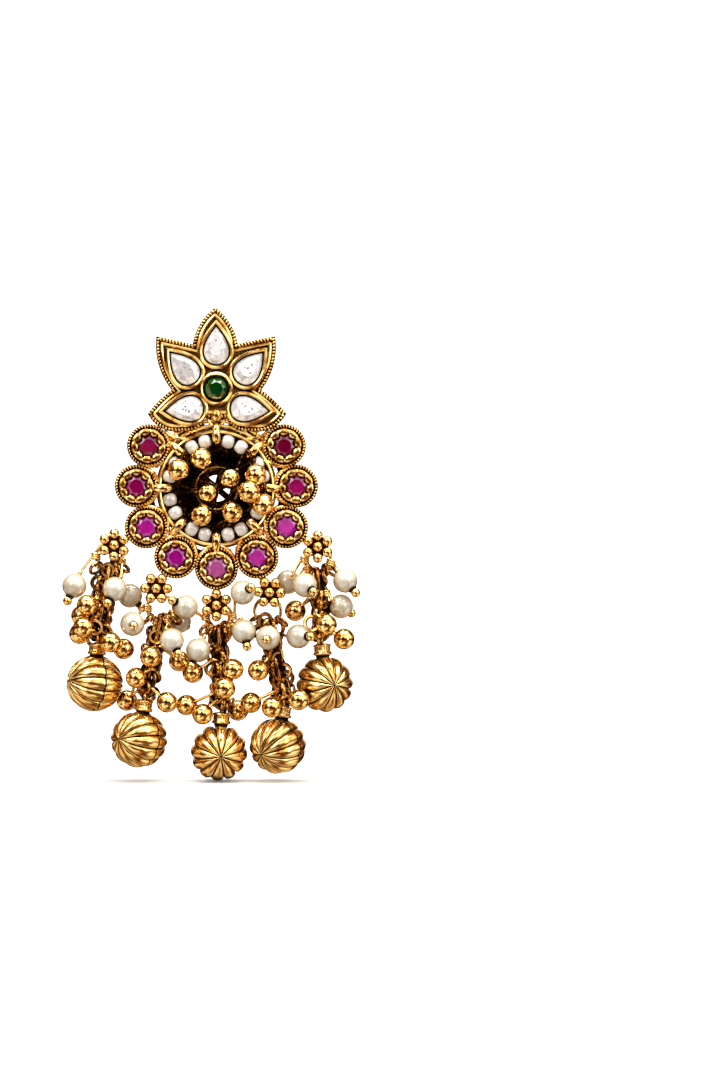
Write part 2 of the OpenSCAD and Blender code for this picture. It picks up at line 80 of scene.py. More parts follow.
# The attribute that holds the tone of a cut stone's facets
TONE_LAYER = "facet_tone"
WHITE: Colour = (1.0, 1.0, 1.0)
BLACK: Colour = (0.0, 0.0, 0.0)
RIGHT = Vector((1.0, 0.0, 0.0))
FRONT = Vector((0.0, -1.0, 0.0))
BACK = Vector((0.0, 1.0, 0.0))
UP = Vector((0.0, 0.0, 1.0))
# The sides that the sections of wires and of pins are turned from. None of them runs that way
SKEW = Vector((0.1, 1.0, 0.2))
LEANING = Vector((0.1, 0.0, 1.0))


class Edge(Enum):
    """How sharp an edge has to be before it is shaded sharp, in degrees."""

    SOFT = 60.0
    CRISP = 32.0
    FACET = 3.0


class Slot(Enum):
    """The record's material slots."""

    GOLD = "antique_gold"
    DARK = "dark_gold"
    PEARL = "pearl"
    CLEAR = "clear_stone"
    GREEN = "green_stone"
    CRIMSON = "crimson_stone"
    RASPBERRY = "raspberry_stone"
    PINK = "pink_stone"
    PALE_PINK = "pale_pink_stone"


class Blend(Enum):
    """How two colours are mixed."""

    MIX = "MIX"
    MULTIPLY = "MULTIPLY"
    LIGHTEN = "LIGHTEN"


def aimed(at: Vector, aim: Vector, side: Vector) -> Matrix:
    """Place a form so that its Z axis follows a direction.

    Args:
        at: Where the form's origin goes.
        aim: Direction of the form's Z axis.
        side: Direction that the form's X axis stays close to.

    Returns:
        The placing matrix.
    """
    z = aim.normalized()
    x = (side - z * side.dot(z)).normalized()
    y = z.cross(x)
    matrix = Matrix((x, y, z)).transposed().to_4x4()
    matrix.translation = at
    return matrix


def facing(x: float, z: float, lift: float = 0.0, turn: float = 0.0) -> Matrix:
    """Place a flat form, drawn in its own XY plane, so that it faces the front.

    Args:
        x: Sideways place of its middle.
        z: Height of its middle.
        lift: How far its plane lies in front of the back face.
        turn: Turn in degrees, anticlockwise as seen from the front.

    Returns:
        The placing matrix, with the form's own Z towards the front.
    """
    upright = Matrix.Rotation(math.pi / 2, 4, "X")
    return Matrix.Translation((x, -lift, z)) @ upright @ Matrix.Rotation(math.radians(turn), 4, "Z")


def polar(angle: float, radius: float, lift: float = 0.0, mid: Vector = BODY_MID) -> Vector:
    """Give the point at an angle in degrees and a radius about a middle, in front of the back face."""
    a = math.radians(angle)
    return mid + Vector((math.cos(a) * radius, -lift, math.sin(a) * radius))


def outward(angle: float) -> Vector:
    """Give the direction at an angle in degrees, seen from the body's middle."""
    return polar(angle, 1.0, mid=Vector())


def circle(radius: float, count: int) -> list[Point2]:
    """Give the points of a circle about the origin."""
    return [(radius * math.cos(TAU * i / count), radius * math.sin(TAU * i / count)) for i in range(count)]


def arc(radius: float, degrees: Iterable[float]) -> list[Point2]:
    """Give the points of a circle about the origin at some angles in degrees."""
    return [(radius * math.cos(a), radius * math.sin(a)) for a in map(math.radians, degrees)]


def pear(length: float, width: float, count: int) -> list[Point2]:
    """Draw a pear outline about the middle of its length, with its point towards +X.

    Args:
        length: Length along X.
        width: Greatest width.
        count: Number of points.

    Returns:
        The points, anticlockwise.
    """
    # The most that sin(t) * sin(t / 2) comes to, where the outline is widest
    widest = 0.77
    points = []
    for i in range(count):
        t = TAU * i / count
        points.append((length / 2 * math.cos(t), width / 2 / widest * math.sin(t) * math.sin(t / 2)))
    return points


def inset(outline: Sequence[Point2], distance: float) -> list[Point2]:
    """Move an outline inwards.

    Args:
        outline: The outline's points, anticlockwise.
        distance: How far it moves, or less than 0 to move it outwards.

    Returns:
        As many points, moved.
    """
    count = len(outline)
    # Keeps a sharp corner's point from running far away
    least = 0.55
    moved = []
    for i in range(count):
        before, here, after = (Vector(outline[j % count]) for j in (i - 1, i, i + 1))
        a = (here - before).normalized()
        b = (after - here).normalized()
        bisector = Vector((-(a.y + b.y), a.x + b.x))
        if bisector.length < 1e-6:
            bisector = Vector((-a.y, a.x))
        bisector.normalize()
        reach = distance / max(least, bisector.dot(Vector((-a.y, a.x))))
        moved.append((here.x + bisector.x * reach, here.y + bisector.y * reach))
    return moved


def shrunk(outline: Sequence[Point2], distance: float) -> list[Point2]:
    """Move a fine outline inwards without loops at its tips.

    Args:
        outline: The outline's points, anticlockwise and close together.
        distance: How far it moves.

    Returns:
        The moved points, less those that fold over one another.
    """
    kept = []
    for point in inset(outline, distance):
        here = Vector(point)
        if min((here - Vector(other)).length for other in outline) > distance * 0.96:
            kept.append(point)
    return kept


def evenly(path: Sequence[Vector], spacing: float) -> list[tuple[Vector, Vector]]:
    """Walk round a closed path in even steps.

    Args:
        path: Corner points of the path.
        spacing: Wanted distance between two steps.

    Returns:
        The place and the direction of each step.
    """
    corners = [*path, path[0]]
    lengths = [(b - a).length for a, b in zip(corners, corners[1:])]
    total = sum(lengths)
    count = max(1, round(total / spacing))
    steps = []
    leg, walked = 0, 0.0
    for i in range(count):
        goal = total * i / count
        while walked + lengths[leg] < goal:
            walked += lengths[leg]
            leg += 1
        way = (corners[leg + 1] - corners[leg]).normalized()
        steps.append((corners[leg] + way * (goal - walked), way))
    return steps


def bent(points: Sequence[Vector], steps: int = 6) -> list[Vector]:
    """Round a wire's corners with a curve through its points.

    Args:
        points: The points that the wire passes through.
        steps: Steps of the curve from one point to the next.

    Returns:
        The points of the curve.
    """
    ends = [points[0] * 2 - points[1], *points, points[-1] * 2 - points[-2]]
    way = []
    for i in range(1, len(ends) - 2):
        a, b, c, d = ends[i - 1 : i + 3]
        squared = a * 2 - b * 5 + c * 4 - d
        cubed = b * 3 - a - c * 3 + d
        for k in range(steps):
            t = k / steps
            way.append((b * 2 + (c - a) * t + squared * t * t + cubed * t**3) / 2)
    return way + [points[-1].copy()]


def back_plate(inwards: float) -> list[Point2]:
    """Give the profile of a plate that lies on a back face, as far inside its outline as is said."""
    return [(inwards, 0.02), (inwards, -0.06), (inwards + 0.35, -0.14)]


@dataclass(frozen=True)
class Finish:
    """A surface finish that is made into one material when it is first asked for."""

    name: str

    def material(self) -> bpy.types.Material:
        """Make the finish's material, or find the one that it made before.

        Returns:
            The material.
        """
        known = bpy.data.materials.get(self.name)
        if known:
            return known
        material = bpy.data.materials.new(self.name)
        material.use_nodes = True
        tree = material.node_tree
        self.build(tree, tree.nodes[SHADER])
        return material

    def build(self, tree: Tree, shader: bpy.types.Node) -> None:
        """Set the shader up and link its pattern."""
        raise NotImplementedError


def add_noise(tree: Tree, scale: float, detail: float = 3.0) -> Socket:
    """Add a noise pattern on Object coordinates.

    Args:
        tree: The material's node tree.
        scale: Pattern scale, in waves a metre.
        detail: Octaves of the noise.

    Returns:
        The socket that carries the pattern, from 0 to 1.
    """
    coordinates = tree.nodes.new("ShaderNodeTexCoord")
    pattern = tree.nodes.new("ShaderNodeTexNoise")
    pattern.inputs["Scale"].default_value = scale
    pattern.inputs["Detail"].default_value = detail
    tree.links.new(coordinates.outputs["Object"], pattern.inputs["Vector"])
    return pattern.outputs["Fac"]


def add_ramp(tree: Tree, source: Socket, stops: Stops) -> Socket:
    """Colour a pattern by a ramp.

    Args:
        tree: The node tree.
        source: The socket that carries the pattern.
        stops: The place of each stop, from 0 to 1, and its colour.

    Returns:
        The socket that carries the colour.
    """
    ramp = tree.nodes.new("ShaderNodeValToRGB")
    elements = ramp.color_ramp.elements
    while len(elements) < len(stops):
        elements.new(0.5)
    for element, (place, colour) in zip(elements, stops):
        element.position = place
        element.color = (*colour, 1.0)
    tree.links.new(source, ramp.inputs["Fac"])
    return ramp.outputs["Color"]


def add_mix(
    tree: Tree,
    factor: Socket | float,
    first: Socket | Colour,
    second: Socket | Colour,
    blend: Blend = Blend.MIX,
) -> Socket:
    """Mix two colours.

    Args:
        tree: The node tree.
        factor: How much of the second colour is taken, a socket or a fixed share.
        first: The first colour, a socket or a fixed one.
        second: The second colour, a socket or a fixed one.
        blend: How they are mixed.

    Returns:
        The socket that carries the mixed colour.
    """
    mix = tree.nodes.new("ShaderNodeMix")
    mix.data_type = "RGBA"
    mix.blend_type = blend.value
    for value, name in ((factor, "Factor"), (first, "A"), (second, "B")):
        socket = next(s for s in mix.inputs if s.name == name and (name == "Factor" or s.type == "RGBA"))
        if isinstance(value, Socket):
            tree.links.new(value, socket)
        elif isinstance(value, tuple):
            socket.default_value = (*value, 1.0)
        else:
            socket.default_value = value
    return next(s for s in mix.outputs if s.type == "RGBA")


def add_bump(tree: Tree, source: Socket, strength: float, distance: float) -> None:
    """Let a pattern raise the shader's surface.

    Args:
        tree: The material's node tree.
        source: The socket that carries the pattern.
        strength: How much of the relief shows, from 0 to 1.
        distance: The relief's height in metres.
    """
    bump = tree.nodes.new("ShaderNodeBump")
    bump.inputs["Strength"].default_value = strength
    bump.inputs["Distance"].default_value = distance
    tree.links.new(source, bump.inputs["Height"])
    tree.links.new(bump.outputs["Normal"], tree.nodes[SHADER].inputs["Normal"])


def grey(level: float) -> Colour:
    """Give a level as a colour."""
    return (level, level, level)


@dataclass(frozen=True)
class AntiqueGold(Finish):
    """Polished gold plate whose recesses are black with age.

    Attributes:
        bright: Colour of clean plate.
        warm: Colour of toned plate.
        stain: Colour of stained plate.
        patina: Colour of the recesses.
        gloss: Roughness of the plate where it is polished best.
        wear: How much rougher it is where it is worn.
        dull: Roughness of the recesses.
        reach: How near a wall has to be to darken a point, in metres.
        open_from: Openness up to which a point is all patina.
        open_to: Openness from which it is all plate.
        relief: How much of the fine dents shows.
        dent: Depth of the fine dents, in metres.
    """

    bright: Colour = (1.0, 0.7, 0.28)
    warm: Colour = (0.82, 0.45, 0.1)
    stain: Colour = (0.34, 0.13, 0.02)
    patina: Colour = (0.012, 0.004, 0.001)
    gloss: float = 0.1
    wear: float = 0.14
    dull: float = 0.55
    reach: float = 0.0008
    open_from: float = 0.16
    open_to: float = 0.52
    relief: float = 0.1
    dent: float = 0.0001

    def build(self, tree: Tree, shader: bpy.types.Node) -> None:
        """Mix plate, stain and patina by how deep a point lies in the relief.

        Args:
            tree: The material's node tree.
            shader: Its shader.
        """
        shader.inputs["Metallic"].default_value = 1.0
        tones = ((0.3, self.stain), (0.42, self.warm), (0.6, self.bright))
        plate = add_ramp(tree, add_noise(tree, 620.0), tones)
        hollow = tree.nodes.new("ShaderNodeAmbientOcclusion")
        hollow.samples = 6
        hollow.inputs["Distance"].default_value = self.reach
        depth = add_ramp(tree, hollow.outputs["AO"], ((self.open_from, WHITE), (self.open_to, BLACK)))
        tree.links.new(add_mix(tree, depth, plate, self.patina), shader.inputs["Base Color"])
        levels = ((0.3, grey(self.gloss)), (0.75, grey(self.gloss + self.wear)))
        worn = add_ramp(tree, add_noise(tree, 1500.0, 2.0), levels)
        tree.links.new(add_mix(tree, depth, worn, grey(self.dull)), shader.inputs["Roughness"])
        add_bump(tree, add_noise(tree, 900.0, 2.0), self.relief, self.dent)


@dataclass(frozen=True)
class PatinaAndPaintedShade(Finish):
    """Black metal with its worn spots: blackened metal, and painted shade where its pieces fill grooves, wells
    and gaps.
    """

    dark: Colour = (0.008, 0.004, 0.002)
    worn: Colour = (0.06, 0.028, 0.008)
    gloss: float = 0.5
    relief: float = 0.3
    dent: float = 0.00006

    def build(self, tree: Tree, shader: bpy.types.Node) -> None:
        """Break the black with worn spots.

        Args:
            tree: The material's node tree.
            shader: Its shader.
        """
        shader.inputs["Metallic"].default_value = 1.0
        shader.inputs["Roughness"].default_value = self.gloss
        spots = add_ramp(tree, add_noise(tree, 1600.0), ((0.5, self.dark), (0.72, self.worn)))
        tree.links.new(spots, shader.inputs["Base Color"])
        add_bump(tree, add_noise(tree, 1900.0, 2.0), self.relief, self.dent)


@dataclass(frozen=True)
class PearlCoat(Finish):
    """A layered pearl coat, clouded, with painted shade: whiter towards the front and back, warmer round the
    sides.
    """

    light: Colour
    shade: Colour
    # The side colour is painted shade round the sides of each pearl or bead
    side: Colour
    gloss: float = 0.16
    relief: float = 0.12
    dent: float = 0.00004

    def build(self, tree: Tree, shader: bpy.types.Node) -> None:
        """Lay soft clouds of cream under a clear coat.

        Args:
            tree: The material's node tree.
            shader: Its shader.
        """
        clouds = add_ramp(tree, add_noise(tree, 260.0, 2.0), ((0.35, self.shade), (0.6, self.light)))
        # Painted shade: the colour turns to the side colour where the normal points sideways, and stays light
        # where it faces the front or the back
        coordinates = tree.nodes.new("ShaderNodeTexCoord")
        split = tree.nodes.new("ShaderNodeSeparateXYZ")
        tree.links.new(coordinates.outputs["Normal"], split.inputs["Vector"])
        front = tree.nodes.new("ShaderNodeMath")
        front.operation = "ABSOLUTE"
        tree.links.new(split.outputs["Y"], front.inputs[0])
        painted_rim_shade = add_ramp(tree, front.outputs["Value"], ((0.15, self.side), (0.75, WHITE)))
        tree.links.new(add_mix(tree, 1.0, clouds, painted_rim_shade, Blend.MULTIPLY), shader.inputs["Base Color"])
        shader.inputs["Roughness"].default_value = self.gloss
        shader.inputs["Specular IOR Level"].default_value = 0.75
        shader.inputs["Coat Weight"].default_value = 1.0
        shader.inputs["Coat Roughness"].default_value = 0.05
        shader.inputs["Coat IOR"].default_value = 1.9
        add_bump(tree, add_noise(tree, 900.0, 2.0), self.relief, self.dent)


@dataclass(frozen=True)
class CutGlass(Finish):
    """Foil-backed cut glass, whose facets differ in tone by the attribute of its stones, with a painted glow.
    """

    dark: Colour
    mid: Colour
    light: Colour
    # How strongly the stone shines by itself: a painted glow in place of light off the foil
    painted_glow: float

    def build(self, tree: Tree, shader: bpy.types.Node) -> None:
        """Colour each facet by its own tone, broken by the flaws of the foil.

        Args:
            tree: The material's node tree.
            shader: Its shader.
        """
        tone = tree.nodes.new("ShaderNodeAttribute")
        tone.attribute_name = TONE_LAYER
        facets = add_ramp(tree, tone.outputs["Fac"], ((0.0, self.dark), (0.5, self.mid), (1.0, self.light)))
        foil = add_ramp(tree, add_noise(tree, 1300.0), ((0.3, grey(0.72)), (0.6, WHITE)))
        colour = add_mix(tree, 1.0, facets, foil, Blend.MULTIPLY)
        tree.links.new(colour, shader.inputs["Base Color"])
        # Painted glow: the stone shines a little by itself, in its own colour
        tree.links.new(colour, shader.inputs["Emission Color"])
        shader.inputs["Emission Strength"].default_value = self.painted_glow
        shader.inputs["Roughness"].default_value = 0.07
        shader.inputs["Specular IOR Level"].default_value = 0.8
        shader.inputs["Coat Weight"].default_value = 0.6
        shader.inputs["Coat Roughness"].default_value = 0.02


GOLD = AntiqueGold("worn_gold_plate")
ROPE_GOLD = AntiqueGold("rubbed_rope_gold", open_from=0.04, open_to=0.36, relief=0.04)
RIB_GOLD = AntiqueGold(
    "ribbed_ball_gold",
    warm=(0.95, 0.56, 0.16),
    stain=(0.72, 0.34, 0.06),
    gloss=0.12,
    reach=0.0014,
    open_from=0.46,
    open_to=0.78,
    relief=0.05,
)
BALL_GOLD = AntiqueGold(
    "polished_ball_gold",
    warm=(0.95, 0.58, 0.18),
    stain=(0.88, 0.5, 0.14),
    gloss=0.06,
    open_from=0.1,
    open_to=0.4,
    relief=0.015,
    wear=0.05,
)
CHAIN_GOLD = AntiqueGold(
    "dark_chain_gold",
    bright=(0.8, 0.44, 0.12),
    warm=(0.36, 0.13, 0.025),
    stain=(0.06, 0.018, 0.003),
    open_from=0.42,
    open_to=0.9,
)
SATIN_GOLD = AntiqueGold(
    "satin_back_gold",
    bright=(1.0, 0.64, 0.21),
    warm=(0.95, 0.55, 0.15),
    stain=(0.62, 0.29, 0.05),
    gloss=0.26,
    open_from=0.1,
    open_to=0.4,
    relief=0.25,
    wear=0.2,
)
# Mostly painted shade: black sheets in the flower's groove and wells, in the settings' grooves and stars, in
# the chains' gaps and round the pins' tips
DARK = PatinaAndPaintedShade("black_patina_and_painted_shade")
CUP_GOLD = PatinaAndPaintedShade("blackened_cup_metal", dark=(0.012, 0.004, 0.001), worn=(0.24, 0.1, 0.03), gloss=0.3)
# The third colour of each pearl coat is its painted shade round the sides
PEARL = PearlCoat("cream_pearl_coat", (0.76, 0.72, 0.58), (0.55, 0.49, 0.35), (0.8, 0.6, 0.36))
SEED = PearlCoat("white_seed_glass", (0.9, 0.88, 0.84), (0.66, 0.63, 0.58), (0.85, 0.8, 0.7), 0.1)
# The last number of each cut glass is its painted glow
CLEAR = CutGlass("clear_cut_glass", (0.06, 0.045, 0.04), (0.84, 0.81, 0.79), (1.0, 0.99, 0.98), 0.24)
GREEN = CutGlass("green_cut_glass", (0.0, 0.008, 0.0), (0.002, 0.045, 0.004), (0.02, 0.28, 0.04), 0.08)
CRIMSON = CutGlass("crimson_cut_glass", (0.1, 0.0, 0.015), (0.19, 0.001, 0.03), (0.33, 0.01, 0.08), 0.12)
RASPBERRY = CutGlass(
    "raspberry_cut_glass", (0.15, 0.0, 0.045), (0.28, 0.002, 0.09), (0.46, 0.025, 0.17), 0.12
)
PINK = CutGlass("pink_cut_glass", (0.2, 0.001, 0.12), (0.4, 0.006, 0.25), (0.58, 0.05, 0.4), 0.15)
PALE_PINK = CutGlass("pale_pink_cut_glass", (0.34, 0.05, 0.19), (0.52, 0.1, 0.32), (0.7, 0.22, 0.48), 0.15)


class Form:
    """A mesh in the making, in millimetres, that ends as one piece of the earring."""

    def __init__(self) -> None:
        """Start with nothing."""
        self.bm = bmesh.new()

    def join(self, part: bmesh.types.BMesh) -> None:
        """Take over a part's mesh and let the part go.

        Args:
            part: The part.
        """
        held = bpy.data.meshes.new("part")
        part.to_mesh(held)
        part.free()
        self.bm.from_mesh(held)
        bpy.data.meshes.remove(held)

    def loft(self, rings: Sequence[Sequence[Vector]], closed: bool = False) -> None:
        """Stretch a skin over rings of points.

        Args:
            rings: Rings with the same number of points, in order.
            closed: Whether the last ring meets the first. Otherwise both are filled.
        """
        bm = bmesh.new()
        verts = [bm.verts.new(point) for point in rings[0]]
        count = len(verts)
        edges = [bm.edges.new((verts[i], verts[(i + 1) % count])) for i in range(count)]
        start = list(edges)
        way = list(rings[1:]) + ([rings[0]] if closed else [])
        for ring in way:
            made = bmesh.ops.extrude_edge_only(bm, edges=edges)["geom"]
            fresh = {g for g in made if isinstance(g, bmesh.types.BMVert)}
            pairs = [next(e.other_vert(v) for e in v.link_edges if e.other_vert(v) in fresh) for v in verts]
            drawn = [g for g in made if isinstance(g, bmesh.types.BMEdge)]
            edges = [edge for edge in drawn if all(vert in fresh for vert in edge.verts)]
            for vert, point in zip(pairs, ring):
                vert.co = point
            verts = pairs
        if closed:
            bmesh.ops.remove_doubles(bm, verts=bm.verts, dist=WELD)
        else:
            bmesh.ops.edgeloop_fill(bm, edges=start)
            bmesh.ops.edgeloop_fill(bm, edges=edges)
        self.join(bm)

    def molding(
        self, outline: Sequence[Point2], profile: Sequence[Point2], at: Matrix, closed: bool = True
    ) -> None:
        """Run a profile along a flat outline.

        Args:
            outline: Anticlockwise outline in the form's XY plane.
            profile: Rows of how far inwards and how high each edge of the profile lies.
            at: The placing matrix.
            closed: Whether the profile is a closed loop. Otherwise its two ends are filled.
        """
        rings = []
        for inwards, height in profile:
            moved = inset(outline, inwards) if inwards else outline
            rings.append([at @ Vector((x, y, height)) for x, y in moved])
        self.loft(rings, closed=closed)

    def spun(self, line: Sequence[Point2], closed: bool, at: Matrix, steps: int) -> None:
        """Spin a line round the form's Z axis.

        Args:
            line: Radius and height of each of its points.
            closed: Whether the line is a closed loop.
            at: The placing matrix.
            steps: Segments of the full turn.
        """
        bm = bmesh.new()
        verts = [bm.verts.new((r, 0.0, z)) for r, z in line]
        edges = [bm.edges.new(pair) for pair in zip(verts, verts[1:])]
        if closed:
            edges.append(bm.edges.new((verts[-1], verts[0])))
        bmesh.ops.spin(
            bm, geom=verts + edges, cent=(0, 0, 0), axis=(0, 0, 1), angle=TAU, steps=steps, use_merge=True
        )
        bmesh.ops.remove_doubles(bm, verts=bm.verts, dist=WELD)
        bmesh.ops.transform(bm, matrix=at, verts=bm.verts)
        self.join(bm)

    def lathe(self, profile: Sequence[Point2], at: Matrix, steps: int = 24) -> None:
        """Turn a profile of radius and height round the form's Z axis."""
        self.spun(profile, False, at, steps)

    def ring(self, at: Matrix, radius: float, wire: Point2, steps: int = 36, sides: int = 8) -> None:
        """Make a closed ring of wire about the form's Z axis.

        Args:
            at: The placing matrix.
            radius: Radius to the middle of the wire.
            wire: Half the wire's thickness across and along the axis.
            steps: Segments round the ring.
            sides: Sides of the wire.
        """
        section = [(radius + wire[0] * x, wire[1] * y) for x, y in circle(1.0, sides)]
        self.spun(section, True, at, steps)

    def wire(self, points: Sequence[Vector], radius: float, sides: int = 8, closed: bool = False) -> None:
        """Draw a wire along points.

        Args:
            points: The wire's way.
            radius: Its radius.
            sides: Sides of the wire.
            closed: Whether the wire returns to its start.
        """
        count = len(points)
        section = circle(radius, sides)
        side = SKEW
        rings = []
        for i, here in enumerate(points):
            before = points[i - 1] if i or closed else here
            after = points[(i + 1) % count] if i < count - 1 or closed else here
            frame = aimed(here, after - before, side)
            side = frame.col[0].xyz
            rings.append([frame @ Vector((x, y, 0.0)) for x, y in section])
        self.loft(rings, closed=closed)

    def beads(self, places: Iterable[Matrix], size: Triple, around: int = 8, up: int = 5) -> None:
        """Add the same bead at several places.

        Args:
            places: The placing matrices.
            size: The bead's size along its own three axes.
            around: Segments round the bead.
            up: Rings from pole to pole.
        """
        bm = bmesh.new()
        stretch = Matrix.Diagonal((*size, 1.0))
        for at in places:
            bmesh.ops.create_uvsphere(bm, u_segments=around, v_segments=up, radius=0.5, matrix=at @ stretch)
        self.join(bm)

    def beads_along(self, path: Sequence[Vector], size: Triple, spacing: float) -> None:
        """Set slanted beads along a closed path in a plane that faces the front, like a twisted wire.

        Args:
            path: Corner points of the path.
            size: A bead's size along its own three axes.
            spacing: Distance between two beads.
        """
        slant = Matrix.Rotation(math.radians(28.0), 4, "Z")
        self.beads([aimed(place, FRONT, way) @ slant for place, way in evenly(path, spacing)], size)

    def finish(
        self, name: str, finish: Finish, slot: Slot, nodes: Iterable[str], edge: Edge = Edge.SOFT
    ) -> None:
        """Close the mesh and make it a piece of the earring.

        Args:
            name: The piece's name.
            finish: What it is finished in.
            slot: The record's material slot; not used.
            nodes: CAD nodes that the piece stands for.
            edge: Which edges are shaded sharp.
        """
        bmesh.ops.remove_doubles(self.bm, verts=self.bm.verts, dist=WELD)
        bmesh.ops.recalc_face_normals(self.bm, faces=self.bm.faces)
        bmesh.ops.scale(self.bm, vec=(MM, MM, MM), verts=self.bm.verts)
        mesh = bpy.data.meshes.new(name)
        self.bm.to_mesh(mesh)
        self.bm.free()
        mesh.shade_smooth()
        mesh.set_sharp_from_angle(angle=math.radians(edge.value))
        mesh.materials.append(finish.material())
        piece = bpy.data.objects.new(name, mesh)
        bpy.context.scene.collection.objects.link(piece)
        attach(piece, "root")
        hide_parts(*nodes)
        LOG.info("%s: %d faces", name, len(mesh.polygons))


class Corner(NamedTuple):
    """A corner of the flower and how far the side to the next one bulges outwards."""

    x: float
    z: float
    bulge: float


class Petal(NamedTuple):
    """A petal's stone: its CAD node, its middle and the angle that its point turns to."""

    node: str
    x: float
    z: float
    points_to: float


@dataclass
class Flower:
    """The cast flower: plate, roped edge with a ridge inside it, bands round the stones and the link bead."""

    corners: tuple[Corner, ...] = (
        Corner(-0.2, 13.0, 0.7),
        Corner(3.4, 7.2, 0.0),
        Corner(9.4, 8.4, 0.9),
        Corner(7.2, -0.2, 0.2),
        Corner(11.2, -4.0, 1.1),
        Corner(5.4, -6.8, 0.8),
        Corner(1.6, -4.7, 0.0),
        Corner(-1.6, -4.7, 0.8),
        Corner(-5.4, -6.8, 1.1),
        Corner(-11.0, -4.0, 0.2),
        Corner(-7.2, -0.2, 0.9),
        Corner(-9.6, 8.4, 0.0),
        Corner(-3.8, 7.1, 0.7),
    )
    petals: tuple[Petal, ...] = (
        Petal("pear_stone_top", 0.0, 6.9, 90.0),
        Petal("pear_stone_upper_left", -5.3, 3.4, 131.0),
        Petal("pear_stone_upper_right", 5.4, 3.4, 49.0),
        Petal("pear_stone_lower_left", -5.1, -3.3, 186.0),
        Petal("pear_stone_lower_right", 5.3, -3.3, -6.0),
    )
    plate: float = 1.0
    edge_lift: float = 1.5
    stone_length: float = 6.0
    stone_width: float = 4.0
    green_d: float = 3.9

    def outline(self, steps: int = 10) -> list[Point2]:
        """Draw the flower's outline.

        Args:
            steps: Steps of each side.

        Returns:
            The points, anticlockwise as seen from the front.
        """
        points: list[Point2] = []
        for here, after in zip(self.corners, self.corners[1:] + self.corners[:1]):
            a, b = Vector((here.x, here.z)), Vector((after.x, after.z))
            way = b - a
            out = Vector((-way.y, way.x)).normalized()
            for i in range(steps):
                t = i / steps
                point = a + way * t + out * (4 * here.bulge * t * (1 - t))
                points.append((point.x, point.y))
        return points[::-1]

    def stone_outline(self, count: int = 64) -> list[Point2]:
        """Return the outline of a pear stone."""
        return pear(self.stone_length, self.stone_width, count)

    def petal_places(self) -> list[Matrix]:
        """Return the placing matrix of each pear stone."""
        return [facing(petal.x, petal.z, turn=petal.points_to) for petal in self.petals]

    def build_casting(self) -> None:
        """Build the plate with its rim and ridge, the bands round the stones and the link bead."""
        form = Form()
        front = facing(0.0, 0.0)
        rim = [(0.0, 0.0), (0.0, 1.2), (0.08, 1.38), (0.52, 1.38), (0.6, self.plate)]
        form.molding(self.outline(), rim, front, closed=False)
        band = [
            (-0.22, 0.95),
            (-0.22, 2.05),
            (-0.3, 2.22),
            (-0.5, 2.3),
            (-0.74, 2.18),
            (-0.88, 1.85),
            (-0.9, 0.95),
        ]
        for at in self.petal_places():
            form.molding(self.stone_outline(), band, at)
        ridge = [Vector((x, -self.edge_lift, z)) for x, z in shrunk(self.outline(40), 0.94)]
        form.wire(ridge, 0.3, closed=True)
        wall = [(0.0, 0.95), (0.0, 2.3), (-0.08, 2.5), (-0.28, 2.58), (-0.5, 2.42), (-0.6, 2.1), (-0.6, 0.95)]
        form.molding(circle(self.green_d / 2 + 0.18, 64), wall, front)
        half = [(0.95, 0.4), (0.75, 0.8), (0.55, 0.95), (0.0, 0.95)]
        bead = [(r, -z) for r, z in half[::-1]] + half
        form.lathe(bead, Matrix.Translation((0.0, -1.2, -4.2)), 20)
        form.finish("flower_casting", GOLD, Slot.GOLD, [CAST], Edge.CRISP)

    def build_rope(self) -> None:
        """Set the twisted edge along the flower's rim."""
        form = Form()
        path = [Vector((x, -self.edge_lift, z)) for x, z in inset(self.outline(), 0.32)]
        form.beads_along(path, (0.4, 0.66, 0.66), 0.52)
        form.finish("flower_rope", ROPE_GOLD, Slot.GOLD, [CAST])

    def build_back(self) -> None:
        """Lay the satin plate on the flower's back."""
        form = Form()
        form.molding(self.outline(), back_plate(0.4), facing(0.0, 0.0), closed=False)
        form.finish("flower_back", SATIN_GOLD, Slot.GOLD, [CAST], Edge.CRISP)

    def build_shade(self) -> None:
        """Paint shade with black sheets into the groove under the rope and the wells round the stones."""
        form = Form()
        groove = [(0.03, 0.9), (0.03, 1.42), (0.68, 1.42), (0.68, 0.9)]
        form.molding(self.outline(), groove, facing(0.0, 0.0))
        well = [(-0.01, 0.95), (-0.01, 1.86), (-0.12, 1.9), (-0.25, 1.86), (-0.25, 0.95)]
        for at in self.petal_places():
            form.molding(self.stone_outline(), well, at)
        round_well = [(0.0, 0.95), (0.0, 2.02), (-0.3, 2.02), (-0.3, 0.95)]
        form.molding(circle(self.green_d / 2 - 0.08, 64), round_well, facing(0.0, 0.0))
        form.finish("flower_shade", DARK, Slot.DARK, [CAST], Edge.CRISP)

    def build_stones(self) -> None:
        """Cut the pear stones and the green stone."""
        for i, (petal, at) in enumerate(zip(self.petals, self.petal_places())):
            drop = self.stone_outline(20)
            stone = CutStone(drop, back=1.1, girdle=1.75, table=2.3, seed=11 + i, line=0.08, flecks=4)
            stone.build(petal.node, CLEAR, Slot.CLEAR, at)
        disc = circle(self.green_d / 2 - 0.1, 16)
        dome = CutStone(disc, back=1.1, girdle=1.8, table=2.5, seed=5, line=0.03)
        dome.build("green_stone", GREEN, Slot.GREEN, facing(0.0, 0.0))

    def build(self) -> None:
        """Build every piece of the flower."""
        self.build_casting()
        self.build_rope()
        self.build_back()
        self.build_shade()
        self.build_stones()


